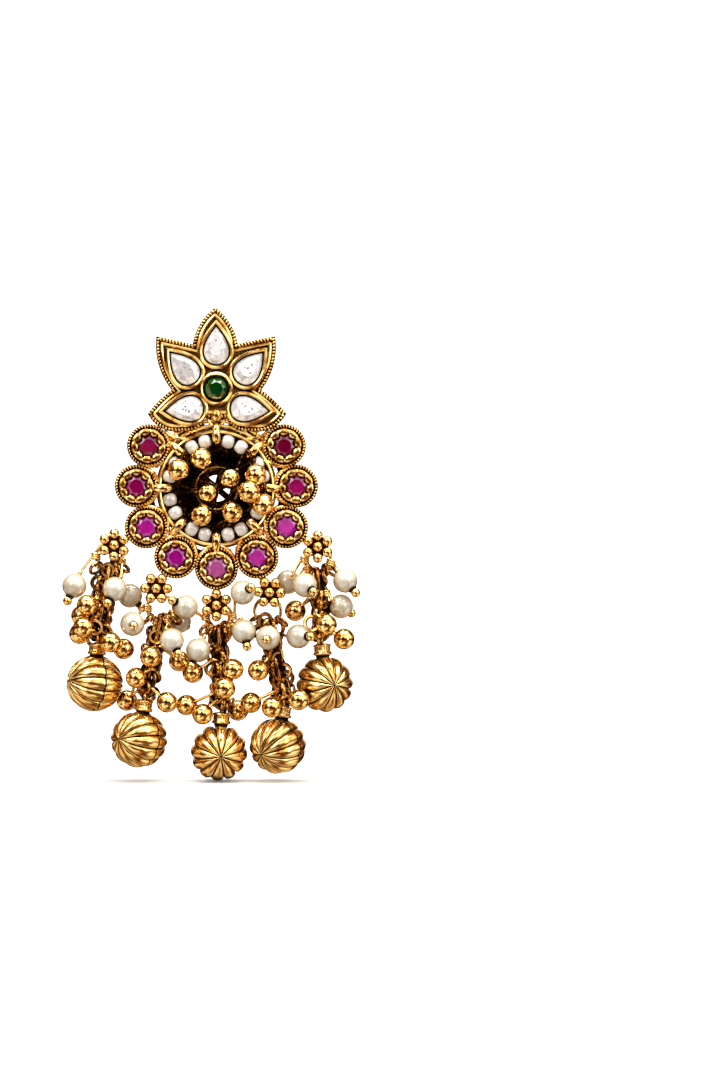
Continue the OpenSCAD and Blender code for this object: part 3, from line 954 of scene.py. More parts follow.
@dataclass
class CutStone:
    """A cut stone over its foil: back, girdle, a ring of kites, a ring of stars and the table.

    Attributes:
        outline: The girdle's outline.
        back: Height of the back.
        girdle: Height of the girdle's upper edge.
        table: Height of the table.
        seed: Seed of the facets' tones and of the flecks.
        line: Breadth of the line round each facet.
        flecks: Number of dark flecks.
        tones: The tones that a facet can have, from dark to light.
        line_tone: Tone of the lines.
        fleck_tone: Tone of the flecks.
    """

    outline: list[Point2]
    back: float
    girdle: float
    table: float
    seed: int
    line: float
    flecks: int = 0
    tones: tuple[float, ...] = (0.3, 0.45, 0.55, 0.65, 0.8, 0.95)
    line_tone: float = 0.3
    fleck_tone: float = 0.0

    def build(self, node: str, finish: Finish, slot: Slot, at: Matrix) -> None:
        """Cut the stone and give each facet its tone.

        Args:
            node: CAD node that the stone stands for.
            finish: Its glass.
            slot: The record's material slot.
            at: The placing matrix.
        """
        form = Form()
        count = len(self.outline)
        rise = self.table - self.girdle
        verts = []
        for share, height, step, half in (
            (0.8, self.back, 1, 0.0),
            (1.0, self.girdle - 0.1, 1, 0.0),
            (1.0, self.girdle, 1, 0.0),
            (0.84, self.girdle + rise * 0.55, 2, 0.5),
            (0.58, self.table, 2, 0.0),
        ):
            for i in range(0, count, step):
                a, b = Vector(self.outline[i]), Vector(self.outline[(i + 1) % count])
                point = (a.lerp(b, half) if half else a) * share
                verts.append(form.bm.verts.new(at @ Vector((point.x, point.y, height))))
        hull = bmesh.ops.convex_hull(form.bm, input=verts)
        loose = [g for g in hull["geom_interior"] + hull["geom_unused"] if isinstance(g, bmesh.types.BMVert)]
        bmesh.ops.delete(form.bm, geom=list(set(loose)), context="VERTS")
        bmesh.ops.dissolve_limit(
            form.bm, angle_limit=math.radians(1.5), verts=form.bm.verts, edges=form.bm.edges
        )
        chance = random.Random(self.seed)
        layer = form.bm.loops.layers.float_color.new(TONE_LAYER)
        facets = sorted(form.bm.faces, key=lambda f: tuple(round(c, 3) for c in f.calc_center_median()))
        tones = {face: chance.choice(self.tones) for face in facets}
        lines = bmesh.ops.inset_individual(form.bm, faces=facets, thickness=self.line, depth=0.0)["faces"]
        tones.update(dict.fromkeys(lines, self.line_tone))
        for _ in range(self.flecks):
            tones.update(dict.fromkeys(self.add_fleck(form, chance, at), self.fleck_tone))
        for face, tone in tones.items():
            for loop in face.loops:
                loop[layer] = (tone, tone, tone, 1.0)
        form.finish(node + "_cut", finish, slot, [node], Edge.FACET)

    def add_fleck(self, form: Form, chance: random.Random, at: Matrix) -> list[bmesh.types.BMFace]:
        """Sink one small dark fleck into the table or the stars.

        Args:
            form: The stone's form.
            chance: Where the fleck's place and size come from.
            at: The stone's placing matrix.

        Returns:
            The fleck's faces.
        """
        corner = Vector(chance.choice(self.outline)) * chance.uniform(0.05, 0.55)
        turn = Matrix.Rotation(chance.uniform(0, TAU), 4, "Z")
        place = Matrix.Translation((corner.x, corner.y, self.table)) @ turn
        size = Matrix.Diagonal((chance.uniform(0.24, 0.56), chance.uniform(0.14, 0.3), 0.08, 1.0))
        fleck = at @ place @ size
        made = bmesh.ops.create_uvsphere(form.bm, u_segments=8, v_segments=4, radius=0.5, matrix=fleck)
        return list({face for vert in made["verts"] for face in vert.link_faces})


@dataclass
class RoundBody:
    """The openwork body: inner rim, top bands, filigree, round settings and bead rosettes."""

    stones: int = 9
    stone_step: float = 30.5
    stone_ring: float = 12.8
    stone_d: float = 3.8
    rosette_ring: float = 18.7
    rosette_angles: tuple[float, ...] = (209.0, 239.0, 270.0, 297.0, 330.0)
    setting_r: float = 3.45
    lobes: int = 9

    def stone_angle(self, index: int) -> float:
        """Return the angle of a red stone, counted clockwise from the upper right."""
        return 270.0 - (index - (self.stones - 1) / 2) * self.stone_step

    def build_rim(self) -> None:
        """Build the inner rim with the wire along it, and the top bands with their plates and scrolls."""
        form = Form()
        rim = [(0.0, 0.0), (0.0, 0.7), (0.1, 0.85), (0.5, 0.85), (0.6, 0.7), (0.6, 0.0)]
        form.molding(circle(9.65, 96), rim, facing(0.0, BODY_MID.z))
        form.ring(facing(0.0, BODY_MID.z, 1.0), 9.05, (0.27, 0.27), 96)
        for radius, lift in ((9.95, 0.95), (10.75, 0.9)):
            form.wire([polar(34.0 + 112.0 * i / 40, radius, lift) for i in range(41)], 0.3)
        for start, end in ((38.0, 49.0), (53.5, 79.5), (83.0, 97.0), (100.5, 126.5), (131.0, 142.0)):
            self.add_sector(form, start, end)
        for i in range(10):
            angle = 41.0 + i * 98.0 / 9
            side = 1.0 if i % 2 else -1.0
            low = polar(angle - 4.0 * side, 9.7, 0.9)
            high = polar(angle + 3.0 * side, 11.9, 0.8)
            form.wire(bent([low, polar(angle, 10.4, 1.2), high]), 0.27, 6)
        form.finish("body_rim", GOLD, Slot.GOLD, [CAST], Edge.CRISP)

    def add_sector(self, form: Form, start: float, end: float) -> None:
        """Add a solid plate behind the top bands.

        Args:
            form: The form that takes it.
            start: The angle at which it starts, in degrees.
            end: The angle at which it ends, in degrees.
        """
        steps = 8
        rings = []
        for radius, lift in ((9.4, 0.1), (9.4, 0.62), (12.0, 0.62), (12.0, 0.1)):
            rings.append([polar(start + (end - start) * i / steps, radius, lift) for i in range(steps + 1)])
        form.loft([[ring[i] for ring in rings] for i in range(steps + 1)])

    def build_fills(self) -> None:
        """Close the small triangles between some of the settings with black plates."""
        form = Form()
        for angle in (16.8, 346.2, 254.8, 193.8):
            place = polar(angle, 10.75)
            at = facing(place.x, place.z, turn=angle)
            form.molding(circle(1.25, 3), [(0.0, 0.1), (0.0, 0.5)], at, closed=False)
        form.finish("body_fills", DARK, Slot.DARK, [CAST], Edge.CRISP)

    def build_filigree(self) -> None:
        """Bend the small scrolls that fill the body between rim and settings."""
        form = Form()
        for i in range(self.stones + 1):
            angle = self.stone_angle(i) + self.stone_step / 2
            for side in (-1.0, 1.0):
                points = [
                    polar(angle + side * 11.0, 9.3, 0.9),
                    polar(angle + side * 5.5, 9.9, 1.15),
                    polar(angle + side * 1.6, 11.1, 1.1),
                    polar(angle + side * 0.6, 12.4, 0.9),
                ]
                form.wire(bent(points, 5), 0.32, 6)
                curl = [
                    polar(angle + side * (4.5 + 1.9 * math.cos(t)), 10.3 + 0.34 * math.sin(t), 1.0)
                    for t in (k * 0.55 for k in range(9))
                ]
                form.wire(curl, 0.21, 6)
        form.finish("body_filigree", GOLD, Slot.GOLD, [CAST])

    def lobed(self, at: Matrix, rows: Sequence[Triple]) -> list[list[Vector]]:
        """Return rings with one arc for each lobe.

        Args:
            at: The placing matrix.
            rows: For each ring its radius between two lobes, how far the lobes reach inwards, and its height.

        Returns:
            The rings' points.
        """
        each = 12
        rings = []
        for radius, reach, height in rows:
            ring = []
            for i in range(self.lobes * each):
                across = 2.0 * (i % each) / each - 1.0
                lobe = (1.0 - across * across) ** 0.62
                away = radius - reach * lobe
                t = TAU * i / (self.lobes * each)
                ring.append(at @ Vector((away * math.cos(t), away * math.sin(t), height + 0.1 * lobe)))
            rings.append(ring)
        return rings

    def setting_places(self) -> list[Matrix]:
        """Place the settings round the body.

        Returns:
            The placing matrix of each.
        """
        places = []
        for i in range(self.stones):
            place = polar(self.stone_angle(i), self.stone_ring)
            places.append(facing(place.x, place.z, turn=self.stone_angle(i) + 7.0 * i))
        return places

    def build_settings(self) -> None:
        """Build the settings: floor, rim and scalloped wall."""
        form = Form()
        rim = [(0.0, 0.0), (0.0, 1.0), (0.06, 1.2), (0.4, 1.2), (0.5, 0.95), (0.5, 0.8)]
        wall = [
            (2.14, 0.5, 1.42),
            (2.15, 0.52, 1.66),
            (2.2, 0.5, 1.84),
            (2.32, 0.38, 1.98),
            (2.46, 0.12, 2.0),
            (2.6, -0.06, 1.88),
            (2.7, -0.1, 1.6),
            (2.7, -0.1, 0.8),
            (2.1, 0.0, 0.8),
        ]
        for at in self.setting_places():
            form.molding(circle(self.setting_r, 64), rim, at, closed=False)
            form.loft(self.lobed(at, wall), closed=True)
        form.finish("stone_settings", GOLD, Slot.GOLD, [CAST], Edge.CRISP)

    def build_back(self) -> None:
        """Close each setting's back with a satin disc."""
        form = Form()
        for at in self.setting_places():
            form.molding(circle(self.setting_r, 48), back_plate(0.35), at, closed=False)
        form.finish("setting_backs", SATIN_GOLD, Slot.GOLD, [CAST], Edge.CRISP)

    def build_ropes(self) -> None:
        """Lay the twisted wire on each setting's rim."""
        form = Form()
        for at in self.setting_places():
            rope = [at @ Vector((x, y, 1.3)) for x, y in circle(3.18, 64)]
            form.beads_along(rope, (0.36, 0.56, 0.56), 0.47)
        form.finish("setting_ropes", ROPE_GOLD, Slot.GOLD, [CAST])

    def build_shade(self) -> None:
        """Paint shade with black sheets into each setting's groove and along the edge of its star."""
        form = Form()
        star = [(2.12, 0.7, 1.4), (2.12, 0.7, 1.56), (2.2, 0.5, 1.64), (2.2, 0.4, 1.4)]
        for at in self.setting_places():
            form.molding(circle(3.0, 48), [(0.0, 0.7), (0.0, 1.0)], at, closed=False)
            form.molding(circle(3.41, 64), [(0.0, 0.9), (0.0, 1.24), (0.5, 1.24), (0.5, 0.9)], at)
            form.loft(self.lobed(at, star), closed=True)
        form.finish("setting_shade", DARK, Slot.DARK, [CAST], Edge.CRISP)

    def build_rosettes(self) -> None:
        """Build the rosettes of seven beads, each with its bar and the eye behind."""
        form = Form()
        back = Form()
        for angle, (x, z) in zip(self.rosette_angles, HOOPS):
            mid = polar(angle, self.rosette_ring)
            floor = facing(mid.x, mid.z)
            back.molding(circle(1.75, 32), [(0.0, 0.0), (0.0, 0.5), (0.12, 0.6)], floor, closed=False)
            for i in range(7):
                place = Matrix.Translation(polar(angle + 60.0 * i, 1.8 if i else 0.0, 0.9, mid))
                bmesh.ops.create_uvsphere(form.bm, u_segments=20, v_segments=12, radius=0.82, matrix=place)
            outer = polar(angle, (self.stone_ring + self.rosette_ring) / 2 - 0.3, 0.5)
            inner = polar(angle, self.rosette_ring - 1.6, 0.5)
            form.wire([outer, outer.lerp(inner, 0.5), inner], 0.55)
            form.ring(aimed(Vector((x, 0.5, z + 2.1)), RIGHT, UP), 0.62, (0.2, 0.2), 24)
        back.finish("rosette_floors", CHAIN_GOLD, Slot.DARK, [CAST], Edge.CRISP)
        form.finish("bead_rosettes", BALL_GOLD, Slot.GOLD, [CAST])

    def build_stones(self) -> None:
        """Cut the red stones, from crimson at the top to pale pink at the bottom."""
        lowest = self.stones // 2
        shades = {4: (CRIMSON, Slot.CRIMSON), 3: (RASPBERRY, Slot.RASPBERRY), 0: (PALE_PINK, Slot.PALE_PINK)}
        for i in range(self.stones):
            finish, slot = shades.get(abs(i - lowest), (PINK, Slot.PINK))
            place = polar(self.stone_angle(i), self.stone_ring)
            disc = circle(self.stone_d / 2, 16)
            stone = CutStone(disc, back=0.9, girdle=1.2, table=1.52, seed=31 + i, line=0.04)
            stone.build(f"red_stone_{i + 1}", finish, slot, facing(place.x, place.z, turn=20.0 * i))

    def build(self) -> None:
        """Build every piece of the body."""
        self.build_rim()
        self.build_fills()
        self.build_filigree()
        self.build_settings()
        self.build_back()
        self.build_ropes()
        self.build_shade()
        self.build_rosettes()
        self.build_stones()


class BallHook(NamedTuple):
    """A gold ball in the cup: its ring, how far round the ring it hangs, and its middle."""

    ring: int
    front: float
    x: float
    y: float
    z: float

    @property
    def mid(self) -> Vector:
        """Return the ball's middle."""
        return Vector((self.x, self.y, self.z))


def off_wire(hook: Vector, tangent: Vector, at: Vector) -> Vector:
    """Give the direction straight off a wire towards a point.

    Args:
        hook: Middle of the wire.
        tangent: The wire's direction.
        at: The point.

    Returns:
        The direction, square to the wire.
    """
    to = at - hook
    return (to - tangent * to.dot(tangent)).normalized()


@dataclass
class GoldBall:
    """A hollow gold ball with a seam, and the drop-shaped loop of wire that it hangs by."""

    diameter: float = 3.4
    eye: float = 0.78
    wire: float = 0.25

    def add_loop(self, form: Form, hook: Vector, tangent: Vector, away: Vector, end: Vector) -> None:
        """Add the drop-shaped loop that goes round a wire and closes on the ball.

        Args:
            form: The form that takes it.
            hook: Middle of the wire that it goes round.
            tangent: That wire's direction.
            away: Direction straight off that wire towards the ball.
            end: Where the loop closes on the ball.
        """
        side = tangent.cross(away)
        neck = hook.lerp(end, 0.62)
        way = [
            end + side * 0.1,
            neck + side * 0.34,
            hook + side * self.eye + away * 0.15,
            hook + (side - away) * self.eye * 0.72,
            hook - away * self.eye,
            hook - (side + away) * self.eye * 0.72,
            hook - side * self.eye + away * 0.15,
            neck - side * 0.34,
            end - side * 0.1,
        ]
        form.wire(bent(way, 4), self.wire)

    def add(self, form: Form, hook: Vector, tangent: Vector, at: Vector, loops: Form | None = None) -> None:
        """Add the ball and its loop.

        Args:
            form: The form that takes them.
            hook: Middle of the wire that the loop goes round.
            tangent: That wire's direction.
            at: The ball's middle.
            loops: The form that takes the loop, if it is another one.
        """
        away = off_wire(hook, tangent, at)
        r = self.diameter / 2
        top = at + (hook - at).normalized() * (r - 0.1)
        self.add_loop(loops or form, hook, tangent, away, top)
        far = arc(r, (80, 66, 52, 38, 26, 14, 5))
        near = arc(r, (-5, -14, -26, -38, -52, -66, -76))
        seam = (r - 0.05, 0.0)
        neck = [(0.34, -r * 0.985), (0.3, -r - 0.12), (0.0, -r - 0.12)]
        form.lathe([(0.0, r), *far, seam, *near, *neck], aimed(at, at - top, Vector((0.3, 1.0, 0.2))), 28)


@dataclass
class Cup:
    """The blackened cup with its rings, the seed beads on their wire and the balls that hang in it."""

    balls: tuple[BallHook, ...] = (
        BallHook(0, 0.0, -2.4, -2.9, -11.2),
        BallHook(7, 70.0, -6.0, -3.6, -13.0),
        BallHook(1, 0.0, 2.2, -1.2, -14.3),
        BallHook(6, 0.0, -1.4, -0.8, -16.7),
        BallHook(2, 0.0, 5.3, -5.4, -16.5),
        BallHook(2, 70.0, 7.5, -3.7, -18.5),
        BallHook(5, 0.0, -2.3, -2.4, -20.2),
        BallHook(4, 0.0, 2.5, -2.2, -19.7),
        BallHook(1, 70.0, 6.3, -3.6, -13.8),
    )
    rings: int = 8
    ring_step: float = 45.0
    ring_mid: float = 8.4
    ring_r: float = 1.5
    ring_lift: float = 0.4
    seed_ring: float = 7.65
    seed_lift: float = 0.95
    seed_half_angle: float = 8.5

    def ring_angle(self, ring: int) -> float:
        """Return the angle of a tie ring, counted clockwise from the top."""
        return 90.0 - self.ring_step * ring

    def build_bowl(self) -> None:
        """Build the fluted bowl with its flange."""
        form = Form()
        count = 192
        rows = (
            (9.1, 0.1, 0.0),
            (6.3, 0.1, 0.0),
            (6.1, 0.25, 0.02),
            (5.6, 0.75, 0.2),
            (4.9, 1.5, 0.24),
            (4.1, 2.45, 0.2),
            (3.55, 3.1, 0.05),
            (3.4, 3.3, 0.0),
            (3.75, 3.35, 0.0),
            (6.35, 0.42, 0.0),
            (9.1, 0.4, 0.0),
        )
        rings = []
        for radius, depth, flute in rows:
            ring = []
            for i in range(count):
                t = TAU * i / count
                wave = flute * (abs(math.sin(24 * t)) - 0.5)
                reach = radius - wave
                ring.append(BODY_MID + Vector((reach * math.cos(t), depth - wave * 0.8, reach * math.sin(t))))
            rings.append(ring)
        form.loft(rings, closed=True)
        form.finish("cup_bowl", CUP_GOLD, Slot.DARK, ["cup"], Edge.CRISP)

    def build_web(self) -> None:
        """Cross the hole at the back with the blackened wires that leave only small openings."""
        form = Form()
        form.ring(facing(0.0, BODY_MID.z, -3.2), 2.75, (0.62, 0.2), 48)
        for angle in (20.0, 75.0, 140.0):
            start, end = polar(angle, 3.4, -3.2), polar(angle + 180.0, 3.4, -3.2)
            form.wire([start, polar(angle, 0.0, -3.0), end], 0.52)
        form.finish("cup_web", CUP_GOLD, Slot.DARK, ["cup"])

    def build_lip(self) -> None:
        """Lay the thin gold ring round the hole at the back of the bowl."""
        form = Form()
        form.ring(facing(0.0, BODY_MID.z, -3.1), 3.4, (0.2, 0.16), 64)
        form.finish("cup_lip", GOLD, Slot.GOLD, ["cup"])

    def build_rings(self) -> None:
        """Bend the flat rings that tie the cup to the body."""
        form = Form()
        for i in range(self.rings):
            angle = self.ring_angle(i)
            out = outward(angle)
            mid = polar(angle, self.ring_mid, self.ring_lift)
            across = out.cross(BACK)
            loops = []
            for k in range(32):
                t = TAU * k / 32
                stretch = 1.35 if math.cos(t) > 0 else 1.0
                away = out * (math.cos(t) * stretch) + Vector((0, -1.15, 0)) * math.sin(t)
                breadth = 0.3 + 0.36 * max(0.0, math.sin(t)) ** 1.2
                loop = []
                for s in (TAU * j / 10 for j in range(10)):
                    reach = self.ring_r + 0.3 * math.cos(s)
                    loop.append(mid + away * reach + across * (breadth * math.sin(s)))
                loops.append(loop)
            form.loft(loops, closed=True)
        form.finish("tie_rings", BALL_GOLD, Slot.GOLD, ["cup_rings"])

    def build_seeds(self) -> None:
        """Turn the seed beads with their holes, two between each ring and the next."""
        form = Form()
        half = [(0.33, 0.7), (0.4, 0.92), (0.6, 0.97), (0.82, 0.82), (0.99, 0.58), (1.09, 0.3), (1.13, 0.0)]
        profile = half + [(r, -z) for r, z in half[-2::-1]] + [(0.33, 0.0), (0.33, 0.6)]
        squash = Matrix.Diagonal((1.0, 0.8, 1.0, 1.0))
        for i in range(self.rings):
            for side in (-1.0, 1.0):
                angle = (i + 0.5) * self.ring_step + side * self.seed_half_angle
                place = polar(angle, self.seed_ring, self.seed_lift)
                out = outward(angle)
                form.lathe(profile, aimed(place, out.cross(BACK), out) @ squash, 24)
        form.finish("seed_beads", SEED, Slot.PEARL, ["seed_pearls"])

    def build_wire(self) -> None:
        """Bend the wire that the seed beads sit on."""
        form = Form()
        form.ring(facing(0.0, BODY_MID.z, self.seed_lift), self.seed_ring, (0.15, 0.15), 96, 6)
        form.finish("seed_bead_wire", GOLD, Slot.GOLD, ["seed_wire"])

    def build_balls(self) -> None:
        """Hang the gold balls on their rings."""
        form = Form()
        loops = Form()
        ball = GoldBall(diameter=3.5)
        for row in self.balls:
            angle = self.ring_angle(row.ring)
            front = math.radians(row.front)
            reach = self.ring_mid - self.ring_r * math.cos(front)
            hook = polar(angle, reach, self.ring_lift + self.ring_r * math.sin(front))
            tangent = Vector((0, math.cos(front), 0)) - outward(angle) * math.sin(front)
            ball.add(form, hook, tangent, row.mid, loops)
        loops.finish("cup_ball_stems", CUP_GOLD, Slot.GOLD, ["cup_balls"])
        form.finish("cup_gold_balls", BALL_GOLD, Slot.GOLD, ["cup_balls"])

    def build(self) -> None:
        """Build every piece of the cup."""
        self.build_bowl()
        self.build_web()
        self.build_lip()
        self.build_rings()
        self.build_seeds()
        self.build_wire()
        self.build_balls()


class Hung(NamedTuple):
    """A ball or pearl that hangs from a hoop or a chain.

    Attributes:
        link: The link that it hangs from, or 0 for the hoop.
        place: How far to the link's side, from -1 to 1, or the angle on the hoop in degrees.
        up: How far above the link's middle.
        x: How far to the right its middle lies.
        y: How far back its middle lies.
        z: How far up its middle lies.
        tip: Where the pin of a pearl points.
    """

    link: int
    place: float
    up: float
    x: float
    y: float
    z: float
    tip: Triple = (0.0, 0.0, 0.0)

    @property
    def mid(self) -> Vector:
        """Return the middle of the ball or pearl."""
        return Vector((self.x, self.y, self.z))


@dataclass
class RibbedBall:
    """A hollow ball of ribs in two halves, with a ridged collar and a loop."""

    diameter: float = 9.1
    ribs: int = 12
    collar: float = 1.9

    def add_shell(self, form: Form, at: Matrix) -> None:
        """Add the ribbed shell.

        Args:
            form: The form that takes it.
            at: The placing matrix, with the shell's poles on its Z axis.
        """
        steps = self.ribs * 16
        r = self.diameter / 2
        rows = [88, 84, 79, 73, 66, 59, 52, 45, 38, 31, 24, 17, 11, 6, 3, 1.9, 1.5, 0]
        rows = rows + [-degrees for degrees in rows[-2::-1]]
        rings = []
        for degrees in rows:
            lat = math.radians(degrees)
            seam = 0.3 if abs(degrees) < 1.6 else 0.0
            waist = 1.0 - abs(degrees) / 90.0
            ring = []
            for i in range(steps):
                lon = TAU * i / steps
                rib = abs(math.cos(self.ribs / 2 * lon)) ** 0.45
                depth = 0.7 * (1 - rib) * (0.55 + 0.45 * waist)
                reach = r - depth - seam
                level = reach * math.cos(lat)
                point = Vector((level * math.cos(lon), level * math.sin(lon), reach * math.sin(lat)))
                ring.append(at @ point)
            rings.append(ring)
        form.loft(rings)

    def add_collar(self, form: Form, at: Matrix) -> None:
        """Add the fluted collar.

        Args:
            form: The form that takes it.
            at: The placing matrix, from the ball's skin outwards along its Z axis.
        """
        count = 56
        rows = (
            (1.0, -0.5, 0.0),
            (1.15, 0.0, 0.0),
            (1.5, 0.12, 0.04),
            (1.55, 0.34, 0.08),
            (1.42, 0.5, 0.02),
            (1.32, 0.62, 0.1),
            (1.36, 1.0, 0.12),
            (1.3, 1.36, 0.1),
            (1.46, 1.48, 0.03),
            (1.46, 1.66, 0.05),
            (1.2, 1.82, 0.02),
            (0.8, self.collar, 0.0),
        )
        rings = []
        for radius, height, flute in rows:
            ring = []
            for i in range(count):
                t = TAU * i / count
                reach = radius - flute * (1 - abs(math.cos(7 * t)))
                ring.append(at @ Vector((reach * math.cos(t), reach * math.sin(t), height)))
            rings.append(ring)
        form.loft(rings)


@dataclass
class Dangle:
    """One dangle: hoop, chain, pearls on head pins, gold balls and a ribbed ball."""

    number: int
    hoop: Point2
    ball: Point2
    lean: float
    pole: Point2
    pearls: tuple[Hung, ...]
    drops: tuple[Hung, ...]
    depth: float = 0.5
    hoop_r: float = 2.1
    link_length: float = 4.0
    link_width: float = 2.2
    link_wire: float = 0.35
    lap: float = 0.7
    links: int = 4
    pearl_d: float = 3.9
    tip_d: float = 1.5
    loop_r: float = 0.85
    ribbed: RibbedBall = field(default_factory=RibbedBall)

    @property
    def hoop_mid(self) -> Vector:
        """Return the middle of the hoop."""
        return Vector((self.hoop[0], self.depth, self.hoop[1]))

    @property
    def ball_mid(self) -> Vector:
        """Return the middle of the ribbed ball."""
        return Vector((self.ball[0], self.depth, self.ball[1]))

    @property
    def neck(self) -> Vector:
        """Return the direction of the ribbed ball's collar."""
        a = math.radians(self.lean)
        return Vector((math.sin(a), 0.0, math.cos(a)))

    @property
    def loop_mid(self) -> Vector:
        """Return the middle of the loop on the collar."""
        return self.ball_mid + self.neck * (self.ribbed.diameter / 2 + self.ribbed.collar + 0.45)

    @property
    def chain_top(self) -> Vector:
        """Return the lowest point of the hoop's wire."""
        return self.hoop_mid - Vector((0, 0, self.hoop_r))

    @property
    def chain_way(self) -> Vector:
        """Return the way from the loop's top to the hoop."""
        return self.chain_top - (self.loop_mid + Vector((0, 0, self.loop_r)))

    def link_mid(self, link: int) -> Vector:
        """Find the middle of a link.

        Args:
            link: The link, counted from 1 at the hoop.

        Returns:
            Its middle.
        """
        pitch = (self.chain_way.length + 2 * self.lap - self.link_length) / (self.links - 1)
        rise = self.lap - self.link_length / 2 - pitch * (link - 1)
        return self.chain_top + self.chain_way.normalized() * rise

    def link_side(self, link: int) -> Vector:
        """Find the direction in which a link is wide: in turn to the back and to the right.

        Args:
            link: The link, counted from 1 at the hoop.

        Returns:
            The direction, square to the chain.
        """
        up = self.chain_way.normalized()
        side = BACK if link % 2 else RIGHT
        return (side - up * side.dot(up)).normalized()

    def hoop_station(self, place: float, off: float = 0.0) -> tuple[Vector, Vector]:
        """Give a place on the hoop's wire.

        Args:
            place: Its angle from the lowest point in degrees, anticlockwise as seen from the front.
            off: How far outside the wire it lies.

        Returns:
            The point and the wire's direction.
        """
        a = math.radians(place)
        point = self.hoop_mid + Vector((math.sin(a), 0, -math.cos(a))) * (self.hoop_r + off)
        return point, Vector((math.cos(a), 0, math.sin(a)))

    def station(self, row: Hung) -> tuple[Vector, Vector]:
        """Find the wire that a row's eye goes round.

        Args:
            row: The ball or pearl.

        Returns:
            The wire's middle and its direction.
        """
        if row.link == 0:
            return self.hoop_station(row.place)
        up = self.chain_way.normalized()
        across = self.link_side(row.link) * (row.place * self.link_width / 2)
        return self.link_mid(row.link) + up * row.up + across, up

    def build_hoop(self) -> None:
        """Bend the hoop."""
        form = Form()
        form.ring(aimed(self.hoop_mid, BACK, RIGHT), self.hoop_r, (0.275, 0.275), 56, 12)
        form.finish(f"hoop_{self.number}_wire", GOLD, Slot.GOLD, [f"hoop_{self.number}"])

    def build_chain(self) -> None:
        """Bend the oval links."""
        form = Form()
        up = self.chain_way.normalized()
        straight = (self.link_length - self.link_width) / 2
        for link in range(1, self.links + 1):
            side = self.link_side(link)
            way = []
            for k in range(32):
                t = TAU * k / 32
                rise = math.sin(t) * self.link_width / 2 + math.copysign(straight, math.sin(t + 1e-6))
                way.append(self.link_mid(link) + side * (math.cos(t) * self.link_width / 2) + up * rise)
            form.wire(way, self.link_wire, 10, closed=True)
        form.finish(f"chain_{self.number}_links", CHAIN_GOLD, Slot.GOLD, [f"chain_{self.number}"])

    def build_jumps(self) -> None:
        """Crowd the chain with the darker jump rings and coils that hold the balls."""
        form = Form()
        chance = random.Random(70 + self.number)
        up = self.chain_way.normalized()
        for link in range(1, self.links + 1):
            for height in (-1.8, -1.2, -0.6, 0.0, 0.6, 1.2, 1.8):
                turn = chance.uniform(0.0, TAU)
                way = Vector((math.cos(turn), math.sin(turn) * 0.7, 0.0))
                mid = self.link_mid(link) + up * height + way * chance.uniform(0.4, 1.5)
                aim = Vector((chance.uniform(-1, 1), chance.uniform(-1, 1), chance.uniform(-0.4, 0.4)))
                form.ring(aimed(mid, aim, up), chance.uniform(0.85, 1.2), (0.34, 0.34), 22, 6)
        for place in (-48.0, -16.0, 20.0, 52.0):
            mid, aim = self.hoop_station(place, 0.7)
            aim.y = chance.uniform(-0.9, 0.9)
            form.ring(aimed(mid, aim, up), chance.uniform(1.0, 1.25), (0.3, 0.3), 26, 6)
        for place in (-40.0, 40.0):
            hook, tangent = self.hoop_station(place)
            for turn in range(4):
                form.ring(aimed(hook + tangent * (0.42 * (turn - 1.5)), tangent, up), 0.5, (0.2, 0.2), 16, 6)
        node = f"chain_{self.number}"
        form.finish(node + "_jump_rings", CHAIN_GOLD, Slot.GOLD, [node])

    def build_shade_wires(self) -> None:
        """Wind black wires between the jump rings: painted shade that fills the gaps in the chain."""
        form = Form()
        chance = random.Random(90 + self.number)
        low = self.loop_mid + Vector((0, 0, 0.6))
        for phase in (0.0, 2.1, 4.2):
            way = []
            for i in range(12):
                share = i / 11
                turn = phase + share * 9.0 + chance.uniform(-0.3, 0.3)
                spread = Vector((math.cos(turn), math.sin(turn) * 0.8 + 0.5, 0.0))
                way.append(low + self.chain_way * share + spread * (1.1 if 0 < i < 11 else 0.2))
            form.wire(bent(way, 4), 0.5, 6)
        form.finish(f"chain_{self.number}_shade_wires", DARK, Slot.DARK, [f"chain_{self.number}"])

    def build_pearls(self) -> None:
        """Turn the drilled pearls."""
        form = Form()
        r = self.pearl_d / 2
        hole = 0.3
        profile = [(hole, -r * 0.9), (hole, r * 0.9)]
        for k in range(1, 20):
            a = math.pi / 2 - math.pi * k / 20
            profile.append((max(hole, r * math.cos(a)), r * math.sin(a)))
        profile.append(profile[0])
        for row in self.pearls:
            form.lathe(profile, aimed(row.mid, Vector(row.tip), LEANING), 32)
        form.finish(f"pearls_{self.number}_round", PEARL, Slot.PEARL, [f"pearls_{self.number}"])

